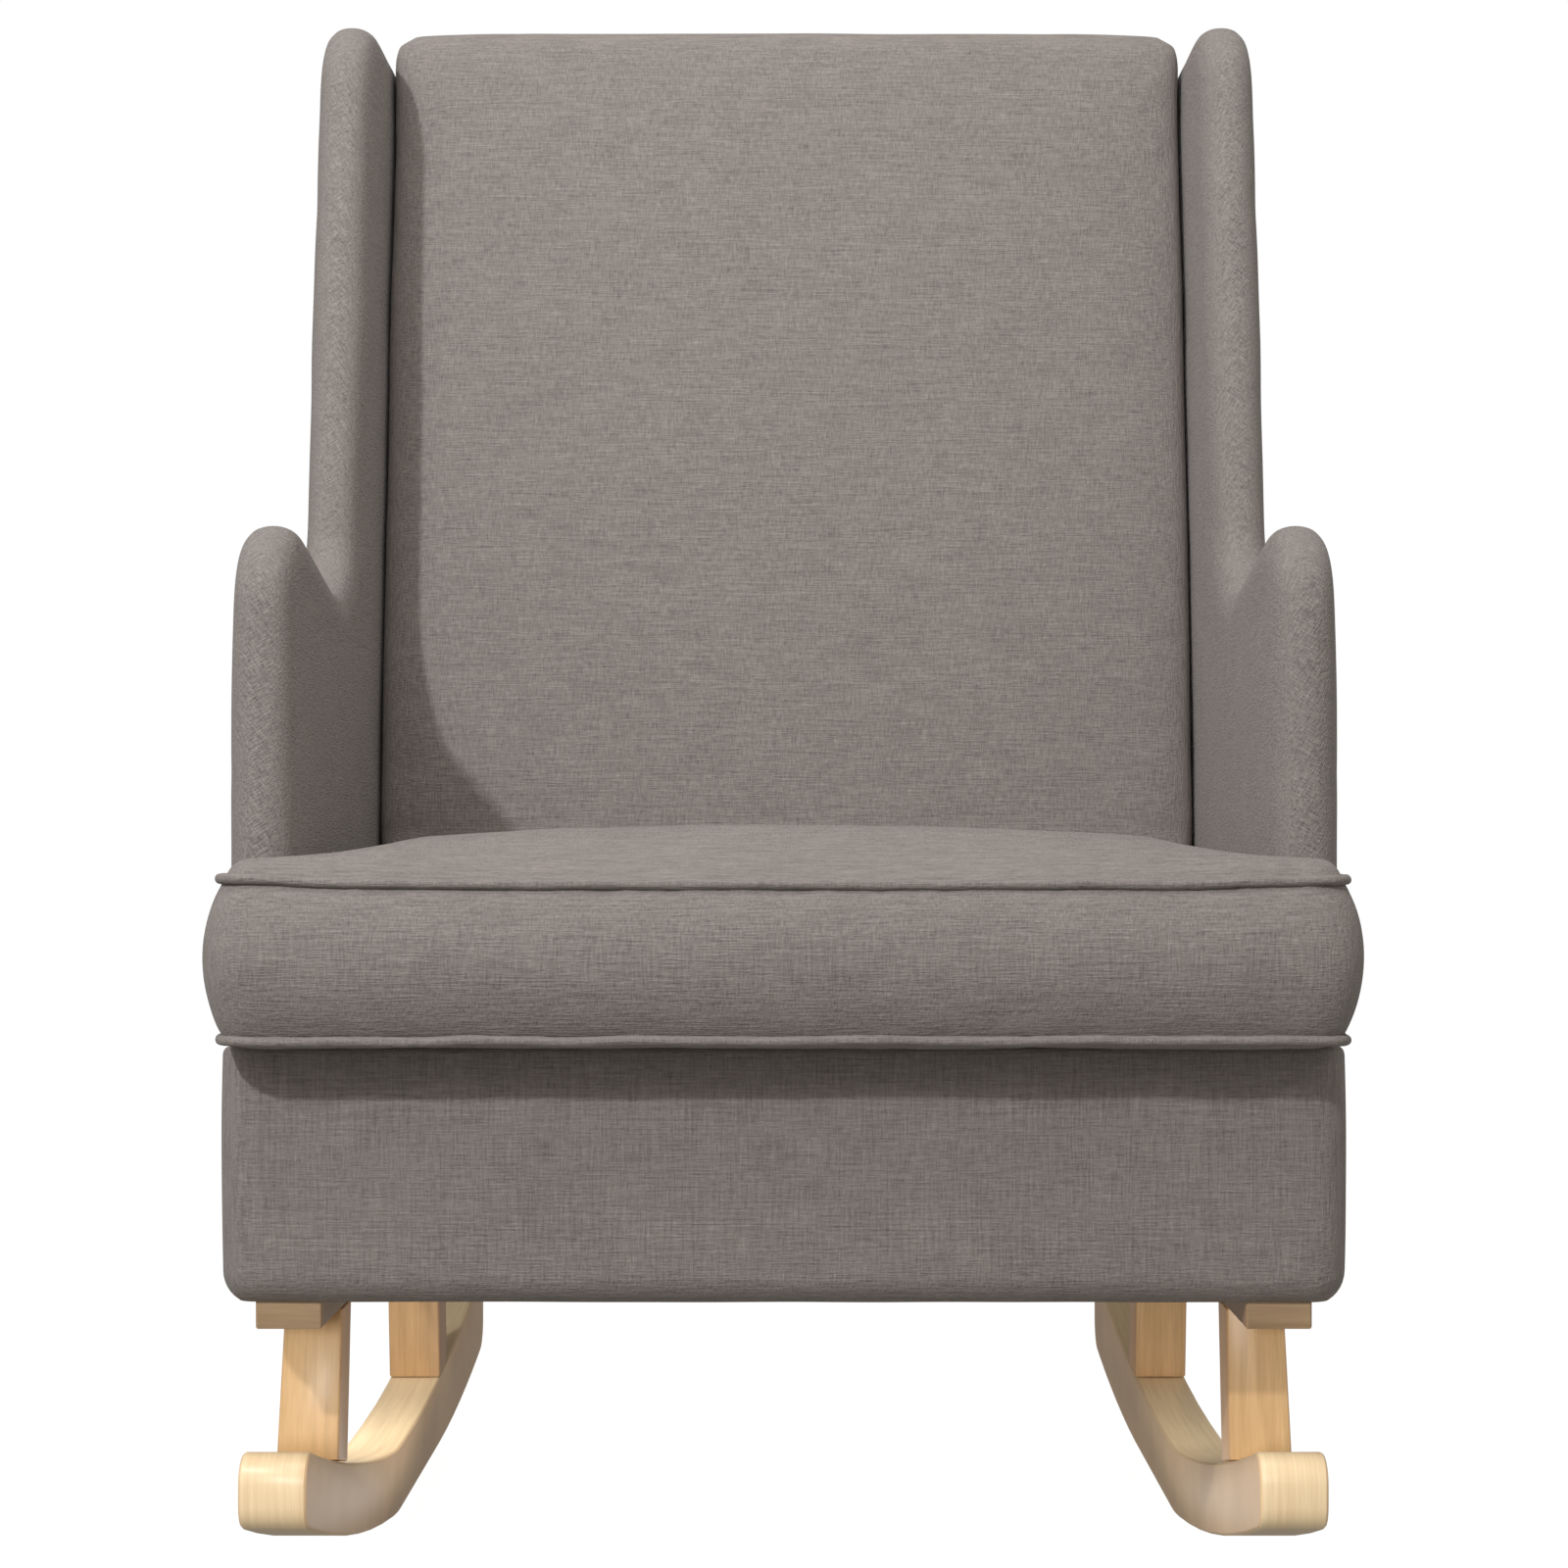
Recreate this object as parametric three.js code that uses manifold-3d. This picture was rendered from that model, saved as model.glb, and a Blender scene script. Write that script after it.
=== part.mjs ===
// An upholstered wingback rocking chair, as an assembly of separate solids.
// Millimetres. +X is to the right of someone facing the chair, +Y runs from its front to its rear,
// +Z is up, and the rockers stand on z = 0.
import * as THREE from "three";
import { mergeVertices } from "three/addons/utils/BufferGeometryUtils.js";
import Module from "manifold-3d";

const wasm = await Module();
wasm.setup();

// ---------------------------------------------------------------- driving dimensions

const GAP = 0.3; // between pieces that touch
const ARC_STEP = Math.PI / 9; // the largest turn between two points of a rounded corner
const BEYOND = 2000; // past every face of the chair

// Rockers: the underside has a standing flat, and rises from both ends of it as SWEEPS says.
const ROCKER = {
  inner: 278.5, // x of the face towards the middle
  width: 40,
  front: -450.5, // y of the front tip
  rear: 450.5,
  flatFront: -66.5, // y where the standing flat begins
  flatRear: 148.5,
  thickness: 46.5, // at the flat
  topRear: 10, // y where the upper edge begins to rise to the rear
  frontTip: 16, // corner radii of the two ends
  rearTip: 26,
  edgeRound: 1.5,
  stations: 8, // points along each radius
  bendStations: 4,
};
// A sweep bends up to a slope over a short run, then curves on with a radius.
const SWEEPS = {
  front: { bend: 30, slope: 0.134, radius: 1855 },
  rear: { bend: 30, slope: 0.03, radius: 2300 },
  topRear: { bend: 60, slope: 0.05, radius: 2800 },
};

const CLEAT = { bottom: 190, thickness: 22, width: 40, front: -397.7, rear: 205, edgeRound: 1 };
const CLEAT_TOP = CLEAT.bottom + CLEAT.thickness;

// top is y of the front face where a leg meets its cleat, and rake is how its foot slants out from there.
const LEGS = {
  front: { top: -324, rake: -0.14, width: 36, footWidth: 38.8, depth: 36 },
  rear: { top: 129, rake: 0.116, width: 40, footWidth: 40, depth: 46 },
};
const LEG_EDGE_ROUND = 1;

// Seat box.
const BASE = { half: 340, front: -408, rear: 220, bottom: 200, top: 360.5, corner: 22, edgeRound: 20 };
const COVER = 10; // padding and fabric outside the rails
const RAIL = { thickness: 22, bottom: CLEAT_TOP + GAP, top: 345 };
const BOARD = { thickness: 18, inset: 18, foot: 215 };
const BOARD_OUTER = BASE.half - COVER - GAP; // x of a side board's outer face
const BOARD_INNER = BOARD_OUTER - BOARD.thickness;
const SIDE_RAIL_OUTER = BOARD_INNER - GAP;
const SIDE_RAIL_INNER = SIDE_RAIL_OUTER - RAIL.thickness;
const FRONT_RAIL_OUTER = BASE.front + COVER + GAP;
const FRONT_RAIL_INNER = FRONT_RAIL_OUTER + RAIL.thickness;
const REAR_RAIL_OUTER = BASE.rear - COVER - GAP;
const REAR_RAIL_INNER = REAR_RAIL_OUTER - RAIL.thickness;
const BLOCK = { leg: 62, height: 70, bottom: 218 };
const DECK = { bottom: RAIL.top + 2 * GAP, top: 360, corner: 10, edgeRound: 3 };
const DUST_CLOTH = { thickness: 1.2, sideGap: 2 };
const SPRING = {
  places: [-225, -75, 75, 225],
  wire: 1.9,
  swing: 24,
  loops: 11,
  loopPoints: 5,
  height: 334,
  crown: 5,
  ends: 8, // how far each end stays from its rail
};

// Side panels, each one arm and wing, 40 mm thick.
const SIDE = {
  outer: 340,
  thickness: 40,
  bottom: 362,
  front: -383,
  rear: 219,
  rearTop: 228,
  armTop: 696, // where the front edge and the arm's top line would meet
  armDip: 645, // where the arm's top line meets the wing
  wingFoot: -139,
  wingLean: 0.17, // y per z of the wing's front edge
  top: 1085,
  edgeRound: 16,
};
const SIDE_INNER = SIDE.outer - SIDE.thickness;
const SIDE_MIDDLE = SIDE.outer - SIDE.thickness / 2;
const SIDE_CORNERS = { foot: 18, arm: 56, dip: 60, wing: 62, rear: 36 };
const BOARD_CORNER = 8; // the least radius of a corner moved in by an inset

// Back, which leans between the wings.
const BACK = { half: 298, seatFront: -51, seatHeight: 478, lean: 0.1311, bottom: 366, top: 1098 };
const BACK_PAD = { thickness: 88, corner: 30, edgeRound: 24 };
const BACK_ANGLE = Math.atan(BACK.lean);
const BACK_FRAME = { stile: 18, rear: 210, top: 1080, rail: 22, panel: 9 };
const BACK_COVER = { thickness: 8, top: 1089, corner: 14, padGap: 2 };
const STRAP = { height: 60, thickness: 2, sideGap: 4, levels: [560, 790] };

// Loose T-shaped seat cushion.
const CUSHION = {
  earHalf: 331,
  bodyHalf: 291.5,
  front: -441,
  earRear: -391,
  rear: -76,
  bottom: 361,
  top: 472,
  frontCorner: 16,
  earCorner: 14,
  innerCorner: 12,
  rearCorner: 24,
  edgeRound: 9,
};
const CUSHION_SKIN = 1.6;
const WELT = { radius: 3.2, low: 367, high: 459, outset: 3 };
const ZIP = { half: 235, height: 14, middle: 412, tape: 1.4 };
const SLIDER = { length: 9, height: 8, thickness: 3.6, corner: 2, start: -226 };

// Fasteners.
const BOLT = { shank: 3, head: 7, headHeight: 5, clearance: 0.35 };
const SCREW = { shank: 2.4, head: 5.5, headHeight: 4, length: 72, sunk: 8 };
const SCREW_LEVEL = 0.75; // how far down a leg its screw crosses the leg's middle

// ---------------------------------------------------------------- materials

const material = (color, roughness, metalness = 0) =>
  new THREE.MeshStandardMaterial({ color, roughness, metalness });

const LINEN = 0x968e88;
const upholstery = () => material(LINEN, 0.9);
const birch = () => material(0xe2bd8c, 0.45);
const plywood = () => material(0xc9a677, 0.7);
const foam = () => material(0xece6d2, 0.95);
const blackCloth = () => material(0x26262a, 0.95);
const zincSteel = () => material(0xa9abae, 0.35, 0.9);
const springSteel = () => material(0x55575a, 0.4, 0.9);

// ---------------------------------------------------------------- geometry helpers

// The manifold solid of a closed three.js geometry.
function toSolid(geometry) {
  const bare = new THREE.BufferGeometry();
  const flat = geometry.index ? geometry.toNonIndexed() : geometry;
  bare.setAttribute("position", flat.getAttribute("position"));
  const merged = mergeVertices(bare, 1e-3);
  const mesh = new wasm.Mesh({
    numProp: 3,
    vertProperties: merged.getAttribute("position").array,
    triVerts: new Uint32Array(merged.index.array),
  });
  return new wasm.Manifold(mesh);
}

function toGeometry(solid) {
  const mesh = solid.getMesh();
  const geometry = new THREE.BufferGeometry();
  geometry.setAttribute("position", new THREE.BufferAttribute(mesh.vertProperties, 3));
  geometry.setIndex(new THREE.BufferAttribute(mesh.triVerts, 1));
  return geometry;
}

// geometry with every tool cut out of it.
function cut(geometry, ...tools) {
  return toGeometry(tools.reduce((solid, tool) => solid.subtract(toSolid(tool)), toSolid(geometry)));
}

function join(...geometries) {
  return toGeometry(geometries.map(toSolid).reduce((whole, next) => whole.add(next)));
}

function overlap(a, b) {
  return toGeometry(toSolid(a).intersect(toSolid(b)));
}

// A box between two corners.
function box([x0, y0, z0], [x1, y1, z1]) {
  const geometry = new THREE.BoxGeometry(x1 - x0, y1 - y0, z1 - z0);
  return geometry.translate((x0 + x1) / 2, (y0 + y1) / 2, (z0 + z1) / 2);
}

// A closed outline through corner points [a, b, radius], each rounded by its radius.
function roundedOutline(corners) {
  const count = corners.length;
  const points = corners.map(([a, b]) => new THREE.Vector2(a, b));
  const outline = [];
  corners.forEach(([, , radius = 0], i) => {
    const corner = points[i];
    if (radius === 0) {
      outline.push(corner);
      return;
    }
    const toLast = points[(i + count - 1) % count].clone().sub(corner).normalize();
    const toNext = points[(i + 1) % count].clone().sub(corner).normalize();
    const half = Math.acos(toLast.dot(toNext)) / 2;
    const reach = radius / Math.sin(half);
    const centre = toLast.clone().add(toNext).setLength(reach).add(corner);
    const from = toLast.multiplyScalar(radius / Math.tan(half)).add(corner).sub(centre);
    const sweep = (Math.PI - 2 * half) * Math.sign(from.cross(corner.clone().sub(centre)));
    const steps = Math.max(1, Math.ceil(Math.abs(sweep) / ARC_STEP));
    for (let k = 0; k <= steps; k += 1) {
      const turned = from.clone().rotateAround(new THREE.Vector2(), (sweep * k) / steps);
      outline.push(turned.add(centre));
    }
  });
  return new THREE.Shape(outline);
}

const rectangle = (a0, b0, a1, b1, radius = 0) =>
  roundedOutline([
    [a0, b0, radius],
    [a1, b0, radius],
    [a1, b1, radius],
    [a0, b1, radius],
  ]);

const X = new THREE.Vector3(1, 0, 0);
const Y = new THREE.Vector3(0, 1, 0);
const Z = new THREE.Vector3(0, 0, 1);

// Extrudes a shape between two stations, with its rim rounded by round inside those limits.
function extrude(shape, low, high, round, roundSteps) {
  const geometry = new THREE.ExtrudeGeometry(shape, {
    depth: high - low - 2 * round,
    bevelEnabled: round > 0,
    bevelThickness: round,
    bevelSize: round,
    bevelOffset: -round,
    bevelSegments: roundSteps,
    curveSegments: 1,
  });
  return geometry.translate(0, 0, low + round);
}

// A plan-view outline (x, y), between two heights.
const risen = (shape, low, high, round = 0, roundSteps = 2) => extrude(shape, low, high, round, roundSteps);

// A side-view outline (y, z), between two values of x.
function acrossX(shape, low, high, round = 0, roundSteps = 2) {
  const basis = new THREE.Matrix4().makeBasis(Y, Z, X);
  return extrude(shape, low, high, round, roundSteps).applyMatrix4(basis);
}

// A front-view outline (x, z), between two values of y.
function alongY(shape, low, high, round = 0, roundSteps = 2) {
  const basis = new THREE.Matrix4().makeBasis(X, Z, Y.clone().negate());
  return extrude(shape, -high, -low, round, roundSteps).applyMatrix4(basis);
}

// A round bar of given length along direction, from start.
function bar(start, direction, length, radius, sides = 12) {
  const geometry = new THREE.CylinderGeometry(radius, radius, length, sides);
  geometry.translate(0, length / 2, 0);
  geometry.applyQuaternion(new THREE.Quaternion().setFromUnitVectors(Y, direction));
  return geometry.translate(...start);
}

// The same geometry on the other side of the chair, still facing out.
function mirrored(geometry) {
  const turned = geometry.index ? geometry.toNonIndexed() : geometry.clone();
  turned.scale(-1, 1, 1);
  const position = turned.getAttribute("position");
  const a = new THREE.Vector3();
  const b = new THREE.Vector3();
  for (let i = 0; i < position.count; i += 3) {
    a.fromBufferAttribute(position, i);
    b.fromBufferAttribute(position, i + 1);
    position.setXYZ(i, b.x, b.y, b.z);
    position.setXYZ(i + 1, a.x, a.y, a.z);
  }
  return turned;
}

const chair = new THREE.Group();

function add(name, geometry, finish) {
  const mesh = new THREE.Mesh(geometry, finish);
  mesh.name = name;
  chair.add(mesh);
  return mesh;
}

// The right-hand piece (x > 0) and its mirror image on the left.
function addPair(name, geometry, makeFinish) {
  add(`${name}_right`, geometry, makeFinish());
  add(`${name}_left`, mirrored(geometry), makeFinish());
}

// ---------------------------------------------------------------- rocker base

// The height a sweep gains over a run.
function rise(run, { bend, slope, radius }) {
  const eased = Math.min(Math.max(run, 0), bend);
  const rest = Math.max(run - bend, 0);
  return (slope * eased * eased) / (2 * bend) + slope * rest + (rest * rest) / (2 * radius);
}

const frontRise = (y) => rise(ROCKER.flatFront - y, SWEEPS.front);
const rockerBottom = (y) => frontRise(y) + rise(y - ROCKER.flatRear, SWEEPS.rear);
const rockerTop = (y) => ROCKER.thickness + frontRise(y) + rise(y - ROCKER.topRear, SWEEPS.topRear);

const spread = (from, to, count) =>
  Array.from({ length: count }, (_, i) => from + ((to - from) * i) / (count - 1));

function rockerOutline() {
  const { front, rear, flatFront, flatRear, topRear, stations, bendStations } = ROCKER;
  const bentFront = flatFront - SWEEPS.front.bend;
  const bend = spread(bentFront, flatFront, bendStations).slice(1);
  const frontEdge = [...spread(front, bentFront, stations), ...bend];
  const under = [...frontEdge, ...spread(flatRear, rear, stations)];
  const over = [...spread(rear, topRear, stations), ...frontEdge.toReversed()];
  const tips = new Map([
    [front, ROCKER.frontTip],
    [rear, ROCKER.rearTip],
  ]);
  const rounded = (y) => tips.get(y) ?? 0;
  return roundedOutline([
    ...under.map((y) => [y, rockerBottom(y), rounded(y)]),
    ...over.map((y) => [y, rockerTop(y), rounded(y)]),
  ]);
}

// Side view of one leg: raked sides, level head, foot following the rocker.
function legOutline({ top, rake, depth }) {
  const head = CLEAT.bottom - GAP;
  const corner = (offset) => {
    const drop = head - rockerTop(top + offset);
    const y = top + offset + rake * drop;
    return [y, rockerTop(y) + 3 * GAP]; // clear of the chords that the rocker is made of
  };
  return roundedOutline([corner(0), corner(depth), [top + depth, head], [top, head]]);
}

// A leg, whose outer face leans out a little so that the foot is footWidth wide.
function legPost(leg) {
  const post = acrossX(legOutline(leg), ROCKER.inner, ROCKER.inner + leg.footWidth, LEG_EDGE_ROUND, 1);
  const foot = rockerTop(leg.top);
  const position = post.getAttribute("position");
  for (let i = 0; i < position.count; i += 1) {
    const across = (position.getX(i) - ROCKER.inner) / leg.footWidth;
    const up = (position.getZ(i) - foot) / (CLEAT.bottom - foot);
    position.setX(i, position.getX(i) - (leg.footWidth - leg.width) * across * up);
  }
  return post;
}

// A screw from under the rocker into the middle of a leg's foot, or with oversize the hole it needs.
function rockerScrew(leg, oversize = 0) {
  const { head, shank, headHeight, length, sunk } = SCREW;
  const x = ROCKER.inner + leg.width / 2;
  const y = leg.top + leg.depth / 2 + leg.rake * (CLEAT.bottom - rockerTop(leg.top)) * SCREW_LEVEL;
  const z = rockerBottom(y) + sunk;
  const entry = oversize > 0 ? sunk * 2 : 0; // the hole also opens through the underside
  const cap = bar([x, y, z - entry], Z, headHeight + entry + oversize, head + oversize);
  const stem = bar([x, y, z + headHeight / 2], Z, length - headHeight / 2 + oversize, shank + oversize);
  return join(cap, stem);
}

const BOLT_LENGTH = 62;
const CLEAT_BOLTS = { front: -240, rear: 78 };
const CLEAT_BOLT_X = (SIDE_RAIL_INNER + SIDE_RAIL_OUTER) / 2;

// A bolt with its head at start, its shank running on along direction.
function bolt(start, direction, length, oversize = 0) {
  const { shank, head, headHeight } = BOLT;
  const at = new THREE.Vector3(...start);
  const neck = at.clone().addScaledVector(direction, headHeight / 2);
  const cap = bar(at.toArray(), direction, headHeight, head + oversize);
  return join(cap, bar(neck.toArray(), direction, length - headHeight / 2 + oversize, shank + oversize));
}

// The hole a bolt needs: its shank with running clearance, past both faces.
const boltHole = (start, direction, length) =>
  bar(start, direction, length + 2 * BOLT.clearance, BOLT.shank + BOLT.clearance);

const cleatBoltStart = (y) => [CLEAT_BOLT_X, y, CLEAT.bottom - BOLT.headHeight - GAP];

function addRockerBase() {
  const outer = ROCKER.inner + ROCKER.width;
  const rocker = acrossX(rockerOutline(), ROCKER.inner, outer, ROCKER.edgeRound, 1);
  const holes = Object.values(LEGS).map((leg) => rockerScrew(leg, BOLT.clearance));
  addPair("rocker", cut(rocker, ...holes), birch);

  for (const [end, leg] of Object.entries(LEGS)) {
    addPair(`leg_${end}`, cut(legPost(leg), rockerScrew(leg, BOLT.clearance)), birch);
    addPair(`rocker_screw_${end}`, rockerScrew(leg), zincSteel);
  }

  const side = rectangle(CLEAT.front, CLEAT.bottom, CLEAT.rear, CLEAT_TOP);
  const cleat = acrossX(side, ROCKER.inner, ROCKER.inner + CLEAT.width, CLEAT.edgeRound, 1);
  const cleatHoles = Object.values(CLEAT_BOLTS).map((y) => boltHole(cleatBoltStart(y), Z, BOLT_LENGTH));
  addPair("cleat", cut(cleat, ...cleatHoles), birch);
  for (const [end, y] of Object.entries(CLEAT_BOLTS)) {
    addPair(`cleat_bolt_${end}`, bolt(cleatBoltStart(y), Z, BOLT_LENGTH), zincSteel);
  }
}

// ---------------------------------------------------------------- seat box

const SIDE_BOLTS = { front: -250, rear: 70 };
const SIDE_BOLT_HEIGHT = 300;
const SIDE_BOLT_LENGTH = 42;
const sideBoltStart = (y) => [SIDE_RAIL_INNER - BOLT.headHeight - GAP, y, SIDE_BOLT_HEIGHT];
const sideBoltHole = (y) => boltHole(sideBoltStart(y), X, SIDE_BOLT_LENGTH);
const sideBoltHoles = () => Object.values(SIDE_BOLTS).map(sideBoltHole);

function addRails() {
  const { bottom, top } = RAIL;
  const wide = BOARD_OUTER;
  add("seat_rail_front", box([-wide, FRONT_RAIL_OUTER, bottom], [wide, FRONT_RAIL_INNER, top]), plywood());
  add("seat_rail_rear", box([-wide, REAR_RAIL_INNER, bottom], [wide, REAR_RAIL_OUTER, top]), plywood());
  const low = [SIDE_RAIL_INNER, FRONT_RAIL_INNER + GAP, bottom];
  const high = [SIDE_RAIL_OUTER, REAR_RAIL_INNER - GAP, top];
  const cleatHoles = Object.values(CLEAT_BOLTS).map((y) => boltHole(cleatBoltStart(y), Z, BOLT_LENGTH));
  addPair("seat_rail", cut(box(low, high), ...cleatHoles, ...sideBoltHoles()), plywood);
}

// A three-cornered block glued into each inner corner of the seat box.
function addCornerBlocks() {
  const x = SIDE_RAIL_INNER - GAP;
  for (const [end, y, inward] of [
    ["front", FRONT_RAIL_INNER + GAP, 1],
    ["rear", REAR_RAIL_INNER - GAP, -1],
  ]) {
    const corners = [
      [x, y],
      [x, y + inward * BLOCK.leg],
      [x - BLOCK.leg, y],
    ];
    const block = risen(roundedOutline(corners), BLOCK.bottom, BLOCK.bottom + BLOCK.height);
    addPair(`corner_block_${end}`, block, birch);
  }
}

// A flat wire zigzag from the front rail to the rear rail, arched a little.
function springPath(x) {
  const first = FRONT_RAIL_INNER + SPRING.ends;
  const last = REAR_RAIL_INNER - SPRING.ends;
  const count = SPRING.loops * SPRING.loopPoints;
  const points = spread(0, 1, count + 1).map((t) => {
    const swing = SPRING.swing * Math.sin(2 * Math.PI * SPRING.loops * t);
    const arch = SPRING.crown * Math.sin(Math.PI * t);
    return new THREE.Vector3(x + swing, first + (last - first) * t, SPRING.height + arch);
  });
  return { path: new THREE.CatmullRomCurve3(points), steps: count };
}

function addSprings() {
  const sides = 4;
  const corners = Array.from({ length: sides }, (_, i) => (2 * Math.PI * i) / sides);
  const section = new THREE.Shape(
    corners.map((angle) => new THREE.Vector2(Math.cos(angle), Math.sin(angle)).multiplyScalar(SPRING.wire)),
  );
  SPRING.places.forEach((x, i) => {
    const { path, steps } = springPath(x);
    const wire = new THREE.ExtrudeGeometry(section, { extrudePath: path, steps, bevelEnabled: false });
    add(`seat_spring_${i + 1}`, wire, springSteel());
  });
}

function addSeatCloths() {
  const { half, front, rear, bottom, top, corner, edgeRound } = BASE;
  const plan = rectangle(-half, front, half, rear, corner);
  const inside = half - COVER;
  const well = box([-inside, front + COVER, bottom - GAP], [inside, rear - COVER, top + GAP]);
  add("base_cover", cut(risen(plan, bottom, top, edgeRound, 3), well), upholstery());

  const deckHalf = SIDE_RAIL_OUTER;
  const deck = rectangle(-deckHalf, FRONT_RAIL_OUTER, deckHalf, REAR_RAIL_OUTER, DECK.corner);
  add("seat_deck", risen(deck, DECK.bottom, DECK.top, DECK.edgeRound, 1), blackCloth());

  const clothHalf = ROCKER.inner - DUST_CLOTH.sideGap; // it stops at the cleats
  const clothTop = RAIL.bottom - GAP;
  const low = [-clothHalf, FRONT_RAIL_OUTER, clothTop - DUST_CLOTH.thickness];
  const high = [clothHalf, REAR_RAIL_OUTER, clothTop];
  add("dust_cover", box(low, high), blackCloth());
}

// ---------------------------------------------------------------- side panels

// Side view of an arm and wing, moved in by inset all round.
function sideOutline(inset) {
  const { bottom, front, rear, rearTop, armTop, armDip, wingFoot, wingLean, top } = SIDE;
  const { foot, arm, dip, wing, rear: rearCorner } = SIDE_CORNERS;
  const wingTop = wingFoot + wingLean * (top - armDip);
  return roundedOutline([
    [front + inset, bottom, foot],
    [front + inset, armTop - inset, Math.max(BOARD_CORNER, arm - inset)],
    [wingFoot + inset, armDip - inset, dip + inset],
    [wingTop + inset, top - inset, Math.max(BOARD_CORNER, wing - inset)],
    [rearTop - inset, top - inset, Math.max(BOARD_CORNER, rearCorner - inset)],
    [rear - inset, bottom, foot],
  ]);
}

// The plywood board inside a side panel, with the foot that is bolted outside the side rail.
function sideBoard(oversize) {
  const low = BOARD_INNER - oversize;
  const high = BOARD_OUTER + oversize;
  const upper = acrossX(sideOutline(BOARD.inset - oversize), low, high);
  const footLow = [low, FRONT_RAIL_INNER + GAP, BOARD.foot];
  const footHigh = [high, REAR_RAIL_INNER - GAP, SIDE.bottom + BOARD.inset];
  return join(upper, box(footLow, footHigh));
}

const BACK_BOLTS = { low: 470, high: 900 };
const BACK_BOLT_Y = 160;
const BACK_BOLT_LENGTH = 52;
const STILE_INNER = BACK.half - BACK_FRAME.stile;
const backBoltStart = (z) => [STILE_INNER - BOLT.headHeight - GAP, BACK_BOLT_Y, z];
const backBoltHole = (z) => boltHole(backBoltStart(z), X, BACK_BOLT_LENGTH);
const backBoltHoles = () => Object.values(BACK_BOLTS).map(backBoltHole);

function addSidePanels() {
  const panel = acrossX(sideOutline(0), SIDE_INNER, SIDE.outer, SIDE.edgeRound, 3);
  const pocket = sideBoard(GAP);
  const innerHalf = box([0, -BEYOND, 0], [SIDE_MIDDLE - GAP / 2, BEYOND, BEYOND]);
  const outerHalf = box([SIDE_MIDDLE + GAP / 2, -BEYOND, 0], [BEYOND, BEYOND, BEYOND]);
  addPair("side_board", cut(sideBoard(0), ...sideBoltHoles(), ...backBoltHoles()), plywood);
  addPair("side_pad_inner", cut(overlap(panel, innerHalf), pocket, ...backBoltHoles()), upholstery);
  addPair("side_pad_outer", cut(overlap(panel, outerHalf), pocket), upholstery);
  for (const [end, y] of Object.entries(SIDE_BOLTS)) {
    addPair(`side_bolt_${end}`, bolt(sideBoltStart(y), X, SIDE_BOLT_LENGTH), zincSteel);
  }
}

// ---------------------------------------------------------------- back

// y of the plane that lies depth behind the back's front face, at height z.
const backPlane = (z, depth) =>
  BACK.seatFront + BACK.lean * (z - BACK.seatHeight) + depth / Math.cos(BACK_ANGLE);

function addBackPad() {
  const { thickness, corner, edgeRound } = BACK_PAD;
  const length = (BACK.top - BACK.bottom) / Math.cos(BACK_ANGLE) - (thickness * Math.tan(BACK_ANGLE)) / 2;
  const outline = rectangle(-BACK.half, 0, BACK.half, length, corner);
  const pad = add("back_pad", alongY(outline, 0, thickness, edgeRound, 3), upholstery());
  pad.rotation.x = -BACK_ANGLE;
  pad.position.set(0, backPlane(BACK.bottom, 0), BACK.bottom + thickness * Math.sin(BACK_ANGLE));
}

function addBackFrame() {
  const behindPad = BACK_PAD.thickness + STRAP.thickness + 4 * GAP;
  const { stile, rear, top, rail, panel } = BACK_FRAME;
  const low = BACK.bottom;
  const stileRear = rear - panel - GAP;
  const stileShape = roundedOutline([
    [backPlane(low, behindPad), low],
    [stileRear, low],
    [stileRear, top],
    [backPlane(top, behindPad), top],
  ]);
  const oneStile = acrossX(stileShape, STILE_INNER, STILE_INNER + stile);
  addPair("back_stile", cut(oneStile, ...backBoltHoles()), plywood);

  const half = STILE_INNER - GAP;
  const topFront = backPlane(top, behindPad);
  add("back_rail_top", box([-half, topFront, top - rail], [half, stileRear, top]), plywood());
  const lowFront = backPlane(low + rail, behindPad);
  add("back_rail_bottom", box([-half, lowFront, low], [half, stileRear, low + rail]), plywood());
  const whole = BACK.half;
  add("back_panel", box([-whole, rear - panel, low], [whole, rear, top]), plywood());

  for (const [end, z] of Object.entries(BACK_BOLTS)) {
    addPair(`back_bolt_${end}`, bolt(backBoltStart(z), X, BACK_BOLT_LENGTH), zincSteel);
  }
}

// Elastic webbing stretched across the front edges of the stiles, under the pad.
function addBackStraps() {
  STRAP.levels.forEach((level, i) => {
    const half = BACK.half - STRAP.sideGap;
    const low = [-half, 0, -STRAP.height / 2];
    const high = [half, STRAP.thickness, STRAP.height / 2];
    const strap = add(`back_strap_${i + 1}`, box(low, high), blackCloth());
    strap.rotation.x = -BACK_ANGLE;
    strap.position.set(0, backPlane(level, BACK_PAD.thickness + 2 * GAP), level);
  });
}

// The fabric over the top and the rear of the back.
function addBackCover() {
  const { thickness, top, corner, padGap } = BACK_COVER;
  const inner = BACK_FRAME.rear + GAP;
  const outer = inner + thickness;
  const under = top - thickness;
  const start = backPlane(top, BACK_PAD.thickness) + padGap;
  const shape = roundedOutline([
    [start, under],
    [inner, under],
    [inner, BACK.bottom],
    [outer, BACK.bottom],
    [outer, top, corner],
    [start, top],
  ]);
  add("back_cover", acrossX(shape, -BACK.half, BACK.half), upholstery());
}

// ---------------------------------------------------------------- seat cushion

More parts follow.
